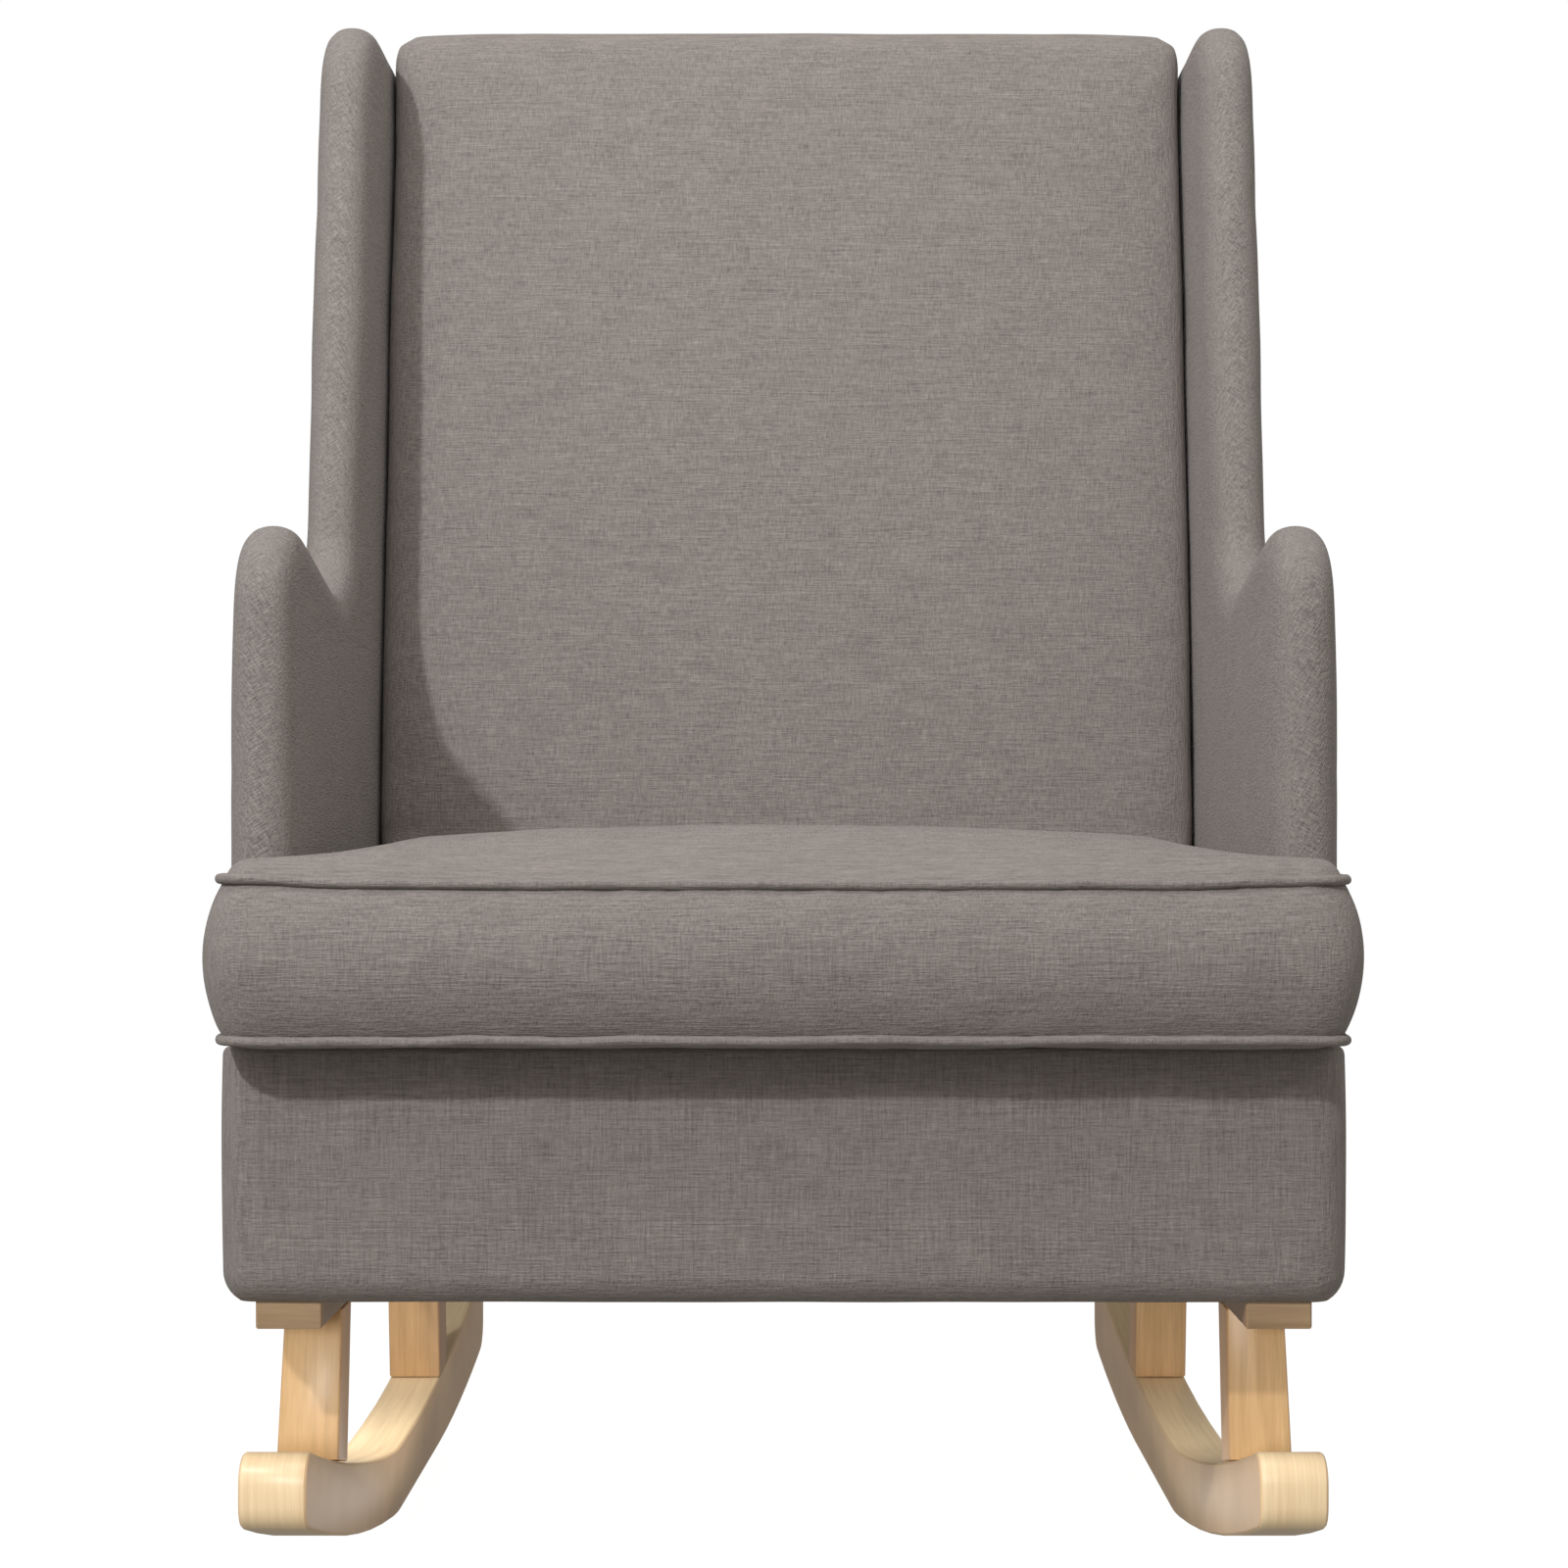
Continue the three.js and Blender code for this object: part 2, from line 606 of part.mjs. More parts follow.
// Plan view of the cushion, moved in by inset: wide ears in front of the arms, narrower body between.
function cushionOutline(inset) {
  const { earHalf, bodyHalf, front, earRear, rear } = CUSHION;
  const { frontCorner, earCorner, innerCorner, rearCorner } = CUSHION;
  const ear = earHalf - inset;
  const body = bodyHalf - inset;
  const right = [
    [ear, front + inset, frontCorner - inset],
    [ear, earRear - inset, earCorner - inset],
    [body, earRear - inset, innerCorner + inset],
    [body, rear - inset, rearCorner - inset],
  ];
  const left = right.map(([x, y, radius]) => [-x, y, radius]).reverse();
  return roundedOutline([...right, ...left]);
}

// The gap in the rear of the case that the zip closes.
function zipBox(grow, from, to) {
  const halfHeight = ZIP.height / 2 + grow;
  const half = ZIP.half + grow;
  return box([-half, from, ZIP.middle - halfHeight], [half, to, ZIP.middle + halfHeight]);
}

function addCushion() {
  const { bottom, top, edgeRound, rear } = CUSHION;
  const skin = CUSHION_SKIN;
  const case_ = risen(cushionOutline(0), bottom, top, edgeRound);
  const room = risen(cushionOutline(skin), bottom + skin, top - skin, edgeRound - skin);
  add("cushion_case", cut(case_, room, zipBox(0, rear - 2 * skin, rear + skin)), upholstery());

  const inset = skin + GAP;
  const core = risen(cushionOutline(inset), bottom + inset, top - inset, edgeRound - inset);
  add("cushion_foam", core, foam());
  const tapeFront = rear - skin;
  add("cushion_zip_tape", zipBox(-GAP, tapeFront, tapeFront + ZIP.tape), blackCloth());

  const sliderFront = rear + GAP;
  const slider = rectangle(
    SLIDER.start,
    ZIP.middle - SLIDER.height / 2,
    SLIDER.start + SLIDER.length,
    ZIP.middle + SLIDER.height / 2,
    SLIDER.corner,
  );
  add("zip_slider", alongY(slider, sliderFront, sliderFront + SLIDER.thickness), zincSteel());
}

// Piping sewn into the upper and lower seams: a closed loop outside the case.
function addWelts() {
  const { radius, low, high, outset } = WELT;
  const clear = 2 * GAP;
  for (const [name, height] of [
    ["welt_bottom", low],
    ["welt_top", high],
  ]) {
    const loop = cushionOutline(-(outset + radius));
    loop.holes.push(new THREE.Path(cushionOutline(-clear).getPoints().reverse()));
    add(name, risen(loop, height - radius, height + radius, radius / 2, 1), upholstery());
  }
}

addRockerBase();
addRails();
addCornerBlocks();
addSprings();
addSeatCloths();
addSidePanels();
addBackPad();
addBackFrame();
addBackStraps();
addBackCover();
addCushion();
addWelts();

export default chair;
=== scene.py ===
# The looks of an upholstered wingback rocking chair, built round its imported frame.
# Metres. +X is to the right of someone facing the chair, +Y runs from its front to its rear, +Z is up.
import math

import bmesh
import bpy
import numpy as np
from mathutils import Euler, Matrix, Vector, noise


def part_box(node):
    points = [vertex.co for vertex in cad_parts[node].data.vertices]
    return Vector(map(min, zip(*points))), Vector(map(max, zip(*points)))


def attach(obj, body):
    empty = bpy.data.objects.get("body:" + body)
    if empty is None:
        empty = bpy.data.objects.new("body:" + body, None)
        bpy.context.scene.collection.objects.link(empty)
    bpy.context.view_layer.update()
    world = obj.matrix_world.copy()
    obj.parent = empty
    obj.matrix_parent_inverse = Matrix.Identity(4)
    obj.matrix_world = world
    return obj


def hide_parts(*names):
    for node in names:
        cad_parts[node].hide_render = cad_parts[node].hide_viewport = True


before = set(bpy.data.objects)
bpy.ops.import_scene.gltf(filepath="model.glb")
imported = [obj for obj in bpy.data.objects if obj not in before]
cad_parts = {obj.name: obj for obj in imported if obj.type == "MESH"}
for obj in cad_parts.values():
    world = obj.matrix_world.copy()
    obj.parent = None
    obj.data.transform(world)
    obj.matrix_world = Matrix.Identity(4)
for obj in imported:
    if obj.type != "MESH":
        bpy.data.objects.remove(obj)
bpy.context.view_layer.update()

MM = 0.001
QUARTER = math.pi / 2  # a quarter turn

# ---------------------------------------------------------------- driving dimensions

BASE_LOW, BASE_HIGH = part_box("base_cover")
SIDE_LOW, SIDE_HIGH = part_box("side_pad_outer_right")
SIDE_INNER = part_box("side_pad_inner_right")[0].x
BACK_LOW, BACK_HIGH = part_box("back_pad")
COVER_LOW, COVER_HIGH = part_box("back_cover")
CASE_LOW, CASE_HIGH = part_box("cushion_case")
DECK_LOW, DECK_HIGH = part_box("seat_deck")
ZIP_LOW, ZIP_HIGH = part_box("cushion_zip_tape")
SLIDER_LOW, SLIDER_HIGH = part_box("zip_slider")

# Side panels: the corners of one arm and wing, seen from the side.
ARM_TOP = 696 * MM  # where the front edge and the arm's top line would meet
ARM_DIP = 645 * MM  # where the arm's top line meets the wing
WING_FOOT = -139 * MM  # y of the wing's front edge at the dip
WING_LEAN = 0.17  # y per z of the wing's front edge
SIDE_REAR_FOOT = 219 * MM  # y of the rear edge at its foot
SIDE_NOSE = 34 * MM  # how deep the padding takes to round off to its edge
SIDE_FULLNESS = 0.78  # of that rounding: 1 is half an ellipse, less is squarer
ARM_SLOPE, WING_SLOPE, REAR_SLOPE = 1.15, 0.75, 0.35  # rounding there, as a share of the front edge's
SIDE_SOLE = 3 * MM  # rounding where a panel stands on the base
SIDE_PUFF = {"cap": 2.5 * MM, "held": 14 * MM}  # how far it swells, and the height that stays put
SIDE_RADII = {"foot": 7 * MM, "arm": 56 * MM, "dip": 60 * MM, "wing": 62 * MM, "rear": 36 * MM}

# Back: a leaning pad, and the outside back over the frame behind it.
BACK_LEAN = 0.1311  # y per z
BACK_ANGLE = math.atan(BACK_LEAN)
BACK_PAD = 88 * MM  # thickness
BACK_CORNER = 17 * MM  # radius of its outline
BACK_EDGE = 14 * MM  # rounding of its face into its sides
BACK_SIDE_GAP = 0.3 * MM  # between the back and the side panels
FLANK_LEVELS = 40  # heights at which its width is measured
FLANK_START = 0.7  # of the half width: where the flanks start to move
BACK_PUFF = {"cap": 5 * MM, "held": 20 * MM, "pressure": 5.0}
BACK_CROWN = 5 * MM  # how far its top corners drop below the middle
BACK_CROWN_POWER = 8  # the drop keeps to the corners
BACK_CROWN_REACH = 60 * MM  # how far down from the top that drop fades out
COVER = {"thickness": 8 * MM, "roll": 14 * MM, "chamfer": 2 * MM}
FLAP = (0.3 * MM, 1.6 * MM)  # past the ends of the outside back, the two faces of its turned strips
FLAP_INSET = 5 * MM  # from the rear and the top
FLAP_REACH = 13 * MM  # forward, over the end of the groove behind the back

# Seat cushion, T-shaped in plan.
BODY_HALF = 291.5 * MM  # half width between the arms
EAR_REAR = -391 * MM  # y behind which the body is narrow
SEAMS = (367 * MM, 459 * MM)  # heights of the two piped seams
CASE_EDGE = 9 * MM  # how far the top and bottom panels pull in from the seams
CASE_UNDER = (3 * MM, 2 * MM)  # inset and height of the turn from the bottom panel to its seam
CASE_OVER = (2.5 * MM, 8 * MM)  # the same above the upper seam
CROWN = {"height": 31 * MM, "fall": 0.137, "shoulder": 60 * MM}  # falls by fall * x * x
BOXING_BULGE = 12.5 * MM  # how far the sides swell between the seams
BOXING_FULLNESS = 0.8  # of that swelling: 1 is a sine, less is squarer
CUSHION_RADII = {"front": 16 * MM, "ear": 14 * MM, "inner": 12 * MM, "rear": 24 * MM}
ARM_GAP = 1.5 * MM  # between the ears and the front of the arms
EAR_ROOT = 8 * MM  # past the arm's inner face, where an ear counts as standing in front of the arm
ZIP_DEPTH = 20 * MM  # how far in the rear panel makes room for the zip
CUSHION_PUFF = 4 * MM  # how far the case swells at most
CUSHION_HELD = {"height": 4 * MM, "depth": 5 * MM}  # the band along a seam that stays put
ZIP_HELD = {"height": 16 * MM, "depth": 6 * MM, "past_end": 10 * MM}
ZIP_CALM = {"share": 0.9, "height": 14 * MM, "depth": 12 * MM}  # where the zip keeps the rear flat
PUCKER = {"size": 11 * MM, "stretch": 0.3, "reach": 16 * MM, "calm": 12 * MM, "height": 0.7 * MM}
FOAM_STEP = 1.6 * MM  # each of the two steps that the foam is smaller by
WELT_RADIUS = 3.1 * MM
WELT_OUTSET = 2.4 * MM  # from the seam to the middle of the piping
WELT_STEP = 3 * MM
WELT_SLOW = {"size": 42 * MM, "up": 0.9 * MM}  # its slow waves, and how far they lift it
WELT_QUICK = {"size": 17 * MM, "up": 0.3 * MM, "out": 0.5 * MM}
CORNER_LIFT = 3 * MM  # how far the front corners of the upper seam turn up
CORNER_REACH = 55 * MM

# Zip: the teeth, and the slider with its pull tab.
TAPE_SKIN = 0.5 * MM  # how much thinner the tape is than its CAD node, so that the teeth show
TOOTH = {
    "pitch": 2.4 * MM,
    "length": 2.2 * MM,
    "overlap": 0.6 * MM,
    "width": 1.2 * MM,
    "proud": 0.9 * MM,
    "chamfer": 0.2 * MM,
}
SLIDER_PLATE = 1.1 * MM
SLIDER_FLOOR = 1.3 * MM
SLIDER_LIP = 0.8 * MM  # how far the plates stop short of the post's rear
SLIDER_CHAMFER = 0.25 * MM
POST = Vector((2, 1, 1)) * MM  # insets of the post between the plates
TAB = {"half_width": 3 * MM, "drop": 18 * MM, "bar": 2 * MM, "side": 1.4 * MM, "half_thick": 0.5 * MM}

# Seat box: the upholstered walls, and the sprung platform between them.
BASE_CORNER = 22 * MM  # radius in plan
BASE_EDGES = (22 * MM, 5 * MM)  # rounding under and over the walls
BASE_UNDER = math.radians(34)  # the turn at which the lower rounding starts
BASE_HEM = 4 * MM  # how far the inside of a wall stops above its lowest point
BASE_BULGE = 1.2 * MM  # how far the walls swell at mid height
BASE_RISE = 1.2 * MM  # how far the walls of the base rise to meet the side panels
BASE_LIP = 2 * MM  # how much further they rise at the front, under the cushion
BASE_LIP_START = (2 * MM, 14 * MM)  # ahead of the arms, where the lip starts and where it is full
BASE_WALL = 10 * MM  # thickness
BASE_TOP_BAND = 30 * MM  # the height over which the rise fades in
DECK = {"corner": 12 * MM, "edge": 4 * MM, "voxel": 4 * MM}
DECK_BORDER = 62 * MM  # width of the sewn border
DECK_SEAM = {"half_width": 3 * MM, "depth": 1.8 * MM}
DECK_DISH = {"start": 62 * MM, "end": 200 * MM, "depth": 3 * MM}
DECK_SKIN = (4 * MM, 1 * MM)  # below its top, where the shaping starts and where it is full

CLEARANCE = 0.6 * MM  # between soft pieces that lie against each other
VOXEL = 6 * MM  # size of the even quads
SHRINKAGE = 1.2 * MM  # what remeshing and relaxing take off a soft piece
SIM_FRAMES = 20  # of each cloth simulation
SMALLEST = 2 * MM  # radius that an outline's corner never falls below
CREASE = math.radians(40)  # edges sharper than this are rounded on the pieces made here
HARD_EDGE = {"width": 0.5 * MM, "crease": math.radians(32), "weld": 0.01 * MM}  # on the CAD nodes
TINY = 1e-12  # keeps a division by a length of zero from failing

# ---------------------------------------------------------------- meshes


def add_object(name, data):
    """A new object in the scene."""
    made = bpy.data.objects.new(name, data)
    bpy.context.scene.collection.objects.link(made)
    return made


def new_piece(name, points, faces):
    """A smooth-shaded mesh object in the scene."""
    mesh = bpy.data.meshes.new(name)
    mesh.from_pydata([tuple(p) for p in points], [], faces)
    mesh.polygons.foreach_set("use_smooth", [True] * len(mesh.polygons))
    piece = add_object(name, mesh)
    face_out(piece)
    return piece


def face_out(piece):
    """Turns every face of a closed mesh to face outwards."""
    work = bmesh.new()
    work.from_mesh(piece.data)
    bmesh.ops.recalc_face_normals(work, faces=work.faces)
    work.to_mesh(piece.data)
    work.free()


def apply_modifiers(piece):
    """Makes the piece's modifiers part of its mesh."""
    graph = bpy.context.evaluated_depsgraph_get()
    made = bpy.data.meshes.new_from_object(piece.evaluated_get(graph))
    piece.modifiers.clear()
    piece.data = made
    made.polygons.foreach_set("use_smooth", [True] * len(made.polygons))


def points_of(piece):
    """The piece's vertices, as an array of (x, y, z)."""
    flat = np.empty(len(piece.data.vertices) * 3)
    piece.data.vertices.foreach_get("co", flat)
    return flat.reshape(-1, 3)


def normals_of(piece):
    """The direction that each vertex faces."""
    flat = np.empty(len(piece.data.vertices) * 3)
    piece.data.vertices.foreach_get("normal", flat)
    return flat.reshape(-1, 3)


def set_points(piece, points):
    """Moves the piece's vertices to points."""
    piece.data.vertices.foreach_set("co", points.ravel())
    piece.data.update()


def rounded_outline(corners, steps=8):
    """A closed outline through corners (a, b, radius), each turned into an arc of steps points."""
    count = len(corners)
    outline = []
    for i, (a, b, radius) in enumerate(corners):
        corner = Vector((a, b))
        to_last = (Vector(corners[i - 1][:2]) - corner).normalized()
        to_next = (Vector(corners[(i + 1) % count][:2]) - corner).normalized()
        half = math.acos(max(-1.0, min(1.0, to_last.dot(to_next)))) / 2
        centre = corner + (to_last + to_next).normalized() * (radius / math.sin(half))
        start = corner + to_last * (radius / math.tan(half)) - centre
        turn = math.copysign(math.pi - 2 * half, start.cross(corner - centre))
        for k in range(steps + 1):
            outline.append(centre + Matrix.Rotation(turn * k / steps, 2) @ start)
    return outline


def rounded_box(half, front, rear, radius, steps=8):
    """A closed rectangle from -half to half across, with round corners."""
    corners = [(-half, front), (half, front), (half, rear), (-half, rear)]
    return rounded_outline([(x, y, radius) for x, y in corners], steps)


def evenly(outline, step):
    """The closed outline again, as points a step apart, with the outward normal at each."""
    ring = np.array([tuple(p) for p in outline])
    ends = np.roll(ring, -1, axis=0)
    lengths = np.linalg.norm(ends - ring, axis=1)
    travelled = np.concatenate([[0], np.cumsum(lengths)])
    closed = np.vstack([ring, ring[:1]])
    stations = np.linspace(0, travelled[-1], int(travelled[-1] / step), endpoint=False)
    points = np.stack([np.interp(stations, travelled, closed[:, k]) for k in (0, 1)], axis=1)
    along = np.roll(points, -1, axis=0) - np.roll(points, 1, axis=0)
    along /= np.linalg.norm(along, axis=1)[:, None]
    area = np.sum(points[:, 0] * np.roll(points[:, 1], -1) - np.roll(points[:, 0], -1) * points[:, 1])
    outward = np.stack([along[:, 1], -along[:, 0]], axis=1) * np.sign(area)
    return points, outward


def loft(name, rings, closed=False):
    """A surface through rings of equally many points, its two ends capped or, if closed, joined."""
    count = len(rings[0])
    points = [p for ring in rings for p in ring]
    faces = []
    for i in range(len(rings) if closed else len(rings) - 1):
        near, far = i * count, (i + 1) % len(rings) * count
        for k in range(count):
            after = (k + 1) % count
            faces.append((near + k, near + after, far + after, far + k))
    if not closed:
        faces.append(tuple(range(count)))
        faces.append(tuple(range((len(rings) - 1) * count, len(rings) * count)))
    return new_piece(name, points, faces)


def tube(name, path, radius, sides=12, closed=True):
    """A round rod along a path of points."""
    centres = [Vector(p) for p in path]
    rings = []
    across = Vector((0, 0, 1))
    for i, centre in enumerate(centres):
        after = centres[(i + 1) % len(centres)] if closed else centres[min(i + 1, len(centres) - 1)]
        before = centres[i - 1] if closed else centres[max(i - 1, 0)]
        along = (after - before).normalized()
        across = (across - along * across.dot(along)).normalized()
        third = along.cross(across)
        turns = (2 * math.pi * k / sides for k in range(sides))
        rings.append([centre + (across * math.cos(t) + third * math.sin(t)) * radius for t in turns])
    return loft(name, rings, closed)


def block(work, low, high):
    """Adds a box between two corners to a bmesh."""
    low, high = Vector(low), Vector(high)
    size = Matrix.Diagonal(high - low).to_4x4()
    bmesh.ops.create_cube(work, size=1, matrix=Matrix.Translation((low + high) / 2) @ size)


def from_bmesh(name, work):
    """Turns a finished bmesh into an object in the scene."""
    mesh = bpy.data.meshes.new(name)
    work.to_mesh(mesh)
    work.free()
    return add_object(name, mesh)


def remesh(piece, voxel):
    """Rebuilds the piece from even quads, so that it can bend anywhere."""
    made = piece.modifiers.new("even quads", "REMESH")
    made.mode = "VOXEL"
    made.voxel_size = voxel
    apply_modifiers(piece)


def relax(piece, rounds, factor=0.5):
    """Smooths the surface, which shrinks it a little."""
    smooth = piece.modifiers.new("relax", "SMOOTH")
    smooth.factor = factor
    smooth.iterations = rounds
    apply_modifiers(piece)


def subdivide(piece):
    """Splits every face in four, on a smooth curve."""
    finer = piece.modifiers.new("finer", "SUBSURF")
    finer.levels = 1
    finer.render_levels = 1
    apply_modifiers(piece)


def bevel(piece, width, crease, segments=2):
    """A modifier that rounds the edges sharper than crease."""
    edges = piece.modifiers.new("edges", "BEVEL")
    edges.width = width
    edges.segments = segments
    edges.limit_method = "ANGLE"
    edges.angle_limit = crease
    edges.harden_normals = True


def chamfer(piece, width, segments=2):
    """Rounds the sharp edges of a hard piece made here."""
    bevel(piece, width, CREASE, segments)
    apply_modifiers(piece)


def puff(piece, cap, held, pressure=4.0):
    """Inflates the piece as cloth. No point moves further than cap, and held points stay."""
    start = points_of(piece)
    pins = piece.vertex_groups.new(name="held")
    pins.add(np.flatnonzero(held(start)).tolist(), 1.0, "REPLACE")
    cloth = piece.modifiers.new("cloth", "CLOTH")
    cloth.settings.quality = 5
    cloth.settings.tension_stiffness = 25
    cloth.settings.compression_stiffness = 25
    cloth.settings.bending_stiffness = 2
    cloth.settings.use_pressure = True
    cloth.settings.uniform_pressure_force = pressure
    cloth.settings.effector_weights.gravity = 0
    cloth.settings.vertex_group_mass = "held"
    cloth.point_cache.frame_end = SIM_FRAMES
    for number in range(1, SIM_FRAMES + 1):
        bpy.context.scene.frame_set(number)
    apply_modifiers(piece)
    piece.vertex_groups.clear()
    move = points_of(piece) - start
    length = np.linalg.norm(move, axis=1)
    set_points(piece, start + move * np.minimum(1, cap / np.maximum(length, TINY))[:, None])
    bpy.context.scene.frame_set(1)


def swell(values, low, high):
    """0 below low, 1 above high, and smooth between them."""
    t = np.clip((values - low) / (high - low), 0, 1)
    return t * t * (3 - 2 * t)


def roughen(piece, height, size, seed):
    """Slow unevenness of cloth over padding."""
    points = points_of(piece)
    shift = Vector((seed, seed * 2, seed * 3))
    amount = np.array([noise.noise(Vector(p) / size + shift) for p in points])
    set_points(piece, points + normals_of(piece) * (amount * height)[:, None])


def mirrored(piece, name):
    """A copy on the other side of the chair."""
    copy = add_object(name, piece.data.copy())
    set_points(copy, points_of(copy) * (-1, 1, 1))
    copy.data.flip_normals()
    return copy


# ---------------------------------------------------------------- materials

COLOUR_SOCKETS = (0, 6, 7)  # of a colour mix node: factor, first and second colour
COLOUR_OUTPUT = 2
THREAD_FADE = 1.4  # how fast a thread's share falls as it turns out of the surface


class Graph:
    """A node tree under construction."""

    def __init__(self, tree):
        self.tree = tree

    def put(self, socket, value):
        """Links an output into a socket, or sets the socket's own value."""
        if isinstance(value, bpy.types.NodeSocket):
            self.tree.links.new(value, socket)
        else:
            socket.default_value = value

    def node(self, kind, sockets, **settings):
        """The outputs of a new node. sockets holds what goes in, by the socket's name or number."""
        made = self.tree.nodes.new(kind)
        for key, value in settings.items():
            setattr(made, key, value)
        for key, value in sockets.items():
            self.put(made.inputs[key], value)
        return made.outputs

    def math(self, operation, a, b=0.0):
        """The output of a math node on a and b."""
        return self.node("ShaderNodeMath", {0: a, 1: b}, operation=operation)[0]

    def total(self, parts):
        """The weighted sum of (output, weight) pairs."""
        whole = 0.0
        for output, weight in parts:
            whole = self.math("ADD", self.math("MULTIPLY", output, weight), whole)
        return whole

    def mix(self, share, first, second, blend="MIX"):
        """Two colours mixed: share is how much of the second one takes part."""
        sockets = dict(zip(COLOUR_SOCKETS, (share, first, second)))
        return self.node("ShaderNodeMix", sockets, data_type="RGBA", blend_type=blend)[COLOUR_OUTPUT]


class Shader(Graph):
    """A procedural material under construction."""

    def __init__(self, name):
        self.material = bpy.data.materials.new(name)
        self.material.use_nodes = True
        super().__init__(self.material.node_tree)
        self.surface = self.tree.nodes["Principled BSDF"]
        coordinates = self.node("ShaderNodeTexCoord", {})
        self.place = coordinates["Object"]
        self.normal = coordinates["Normal"]

    def turned(self, turn, size):
        """Object coordinates turned back by turn, then divided by size along each axis."""
        sockets = {"Vector": self.place, "Rotation": turn, "Scale": size}
        return self.node("ShaderNodeMapping", sockets, vector_type="TEXTURE")["Vector"]

    def cloud(self, vector, scale=1.0, detail=2.0, distortion=0.0):
        """Noise about zero, from -1 to 1."""
        sockets = {"Vector": vector, "Scale": scale, "Detail": detail, "Distortion": distortion}
        level = self.node("ShaderNodeTexNoise", sockets)["Fac"]
        return self.math("SUBTRACT", self.math("MULTIPLY", level, 2.0), 1.0)

    def lying(self, turn):
        """1 where the turned X axis lies in the surface, falling to 0 where it stands 60 degrees out."""
        axis = Euler(turn).to_matrix() @ Vector((1, 0, 0))
        dot = self.node("ShaderNodeVectorMath", {0: self.normal, 1: axis}, operation="DOT_PRODUCT")["Value"]
        out = self.math("MULTIPLY", dot, dot)
        return self.math("MAXIMUM", self.math("ADD", self.math("MULTIPLY", out, -THREAD_FADE), 1.0), 0.0)

    def tint(self, amount, dark, light):
        """A colour between dark and light, where amount runs from -1 to 1."""
        share = self.node("ShaderNodeMapRange", {"Value": amount, "From Min": -1.0})["Result"]
        return self.mix(share, (*dark, 1), (*light, 1))

    def relief(self, height, depth, strength):
        """Bumps the surface by height, where 1 stands depth out of it."""
        sockets = {"Height": height, "Distance": depth, "Strength": strength}
        self.put(self.surface.inputs["Normal"], self.node("ShaderNodeBump", sockets)["Normal"])

    def finish(self, **values):
        """Sets the surface's sockets by name, and returns the material."""
        for name, value in values.items():
            self.put(self.surface.inputs[name.replace("_", " ").title()], value)
        return self.material


STRAIGHT = ((0, 0, 0), (0, 0, QUARTER), (0, -QUARTER, 0))  # threads along X, Y and Z
SLANT = math.radians(32)  # of the threads over the front edge of an arm
BIAS = {
    "left": ((0, -SLANT, 0), (0, QUARTER - SLANT, 0), (0, 0, QUARTER)),
    "right": ((0, SLANT, 0), (0, SLANT - QUARTER, 0), (0, 0, QUARTER)),
}
THREAD_WIDTHS = (1.0 * MM, 1.1 * MM)  # of the short threads and of the long slubs
TAUPE = (0.276, 0.243, 0.221)  # the linen's average colour
TAUPE_RANGE = (0.5, 1.5)  # the darkest and the lightest threads, as shares of it
SHADED_FLANK = (0.96, 0.85, 0.80)  # painted shade: what the flanks of the wooden parts keep of its colour, darker and pinker than the lit faces
PLY = {"thickness": 1.4 * MM, "length": 60 * MM, "figure": 9 * MM, "figure_length": 160 * MM}


def linen(name, turns, contrast, lengths):
    """Plain-woven linen look: short threads and slubs of the two lengths, along each turn's X axis."""
    shader = Shader(name)
    threads = []
    for turn in turns:
        short, slub = ((length, width, width) for length, width in zip(lengths, THREAD_WIDTHS))
        short = shader.cloud(shader.turned(turn, short), detail=1.0)
        slub = shader.cloud(shader.turned(turn, slub), detail=0.0)
        thread = shader.total([(short, 0.85), (slub, 0.7)])
        threads.append((thread, shader.lying(turn)))
    weave = shader.total(threads)
    mottle = shader.cloud(shader.place, scale=45.0, detail=3.0)
    shade = shader.total([(weave, contrast), (mottle, 0.16)])
    dark, light = ([channel * share for channel in TAUPE] for share in TAUPE_RANGE)
    shader.relief(weave, 0.5 * MM, 0.5)
    return shader.finish(
        base_color=shader.tint(shade, dark, light),
        roughness=0.92,
        sheen_weight=0.12,
        sheen_roughness=0.5,
    )


def wood(name, light, dark, grain, seed):
    """Clear-finished birch, with painted shade that dulls its flanks. grain holds the size of its figure
    along X, Y and Z.
    """
    shader = Shader(name)
    figure = shader.turned((0, 0, 0), grain)
    broad = shader.cloud(figure, scale=0.35, detail=2.0, distortion=0.6)
    lines = shader.cloud(figure, scale=1.0, detail=3.0)
    pores = shader.cloud(figure, scale=3.2, detail=1.0)
    patch = shader.cloud(shader.place, scale=9.0 + seed, detail=1.0)
    shade = shader.total([(broad, 0.9), (lines, 0.8), (pores, 0.45), (patch, 0.5)])
    shader.relief(shader.total([(lines, 0.5), (pores, 0.5)]), 0.12 * MM, 0.35)
    gloss = shader.math("ADD", shader.math("MULTIPLY", lines, 0.06), 0.42)
    # painted shade: faces that turn along X are darkened and pinked, as if in shadow
    flank_shade = shader.math("SUBTRACT", 1.0, shader.lying((0, 0, 0)))
    colour = shader.mix(flank_shade, shader.tint(shade, dark, light), (*SHADED_FLANK, 1), "MULTIPLY")
    return shader.finish(base_color=colour, roughness=gloss, coat_weight=0.12, coat_roughness=0.3)


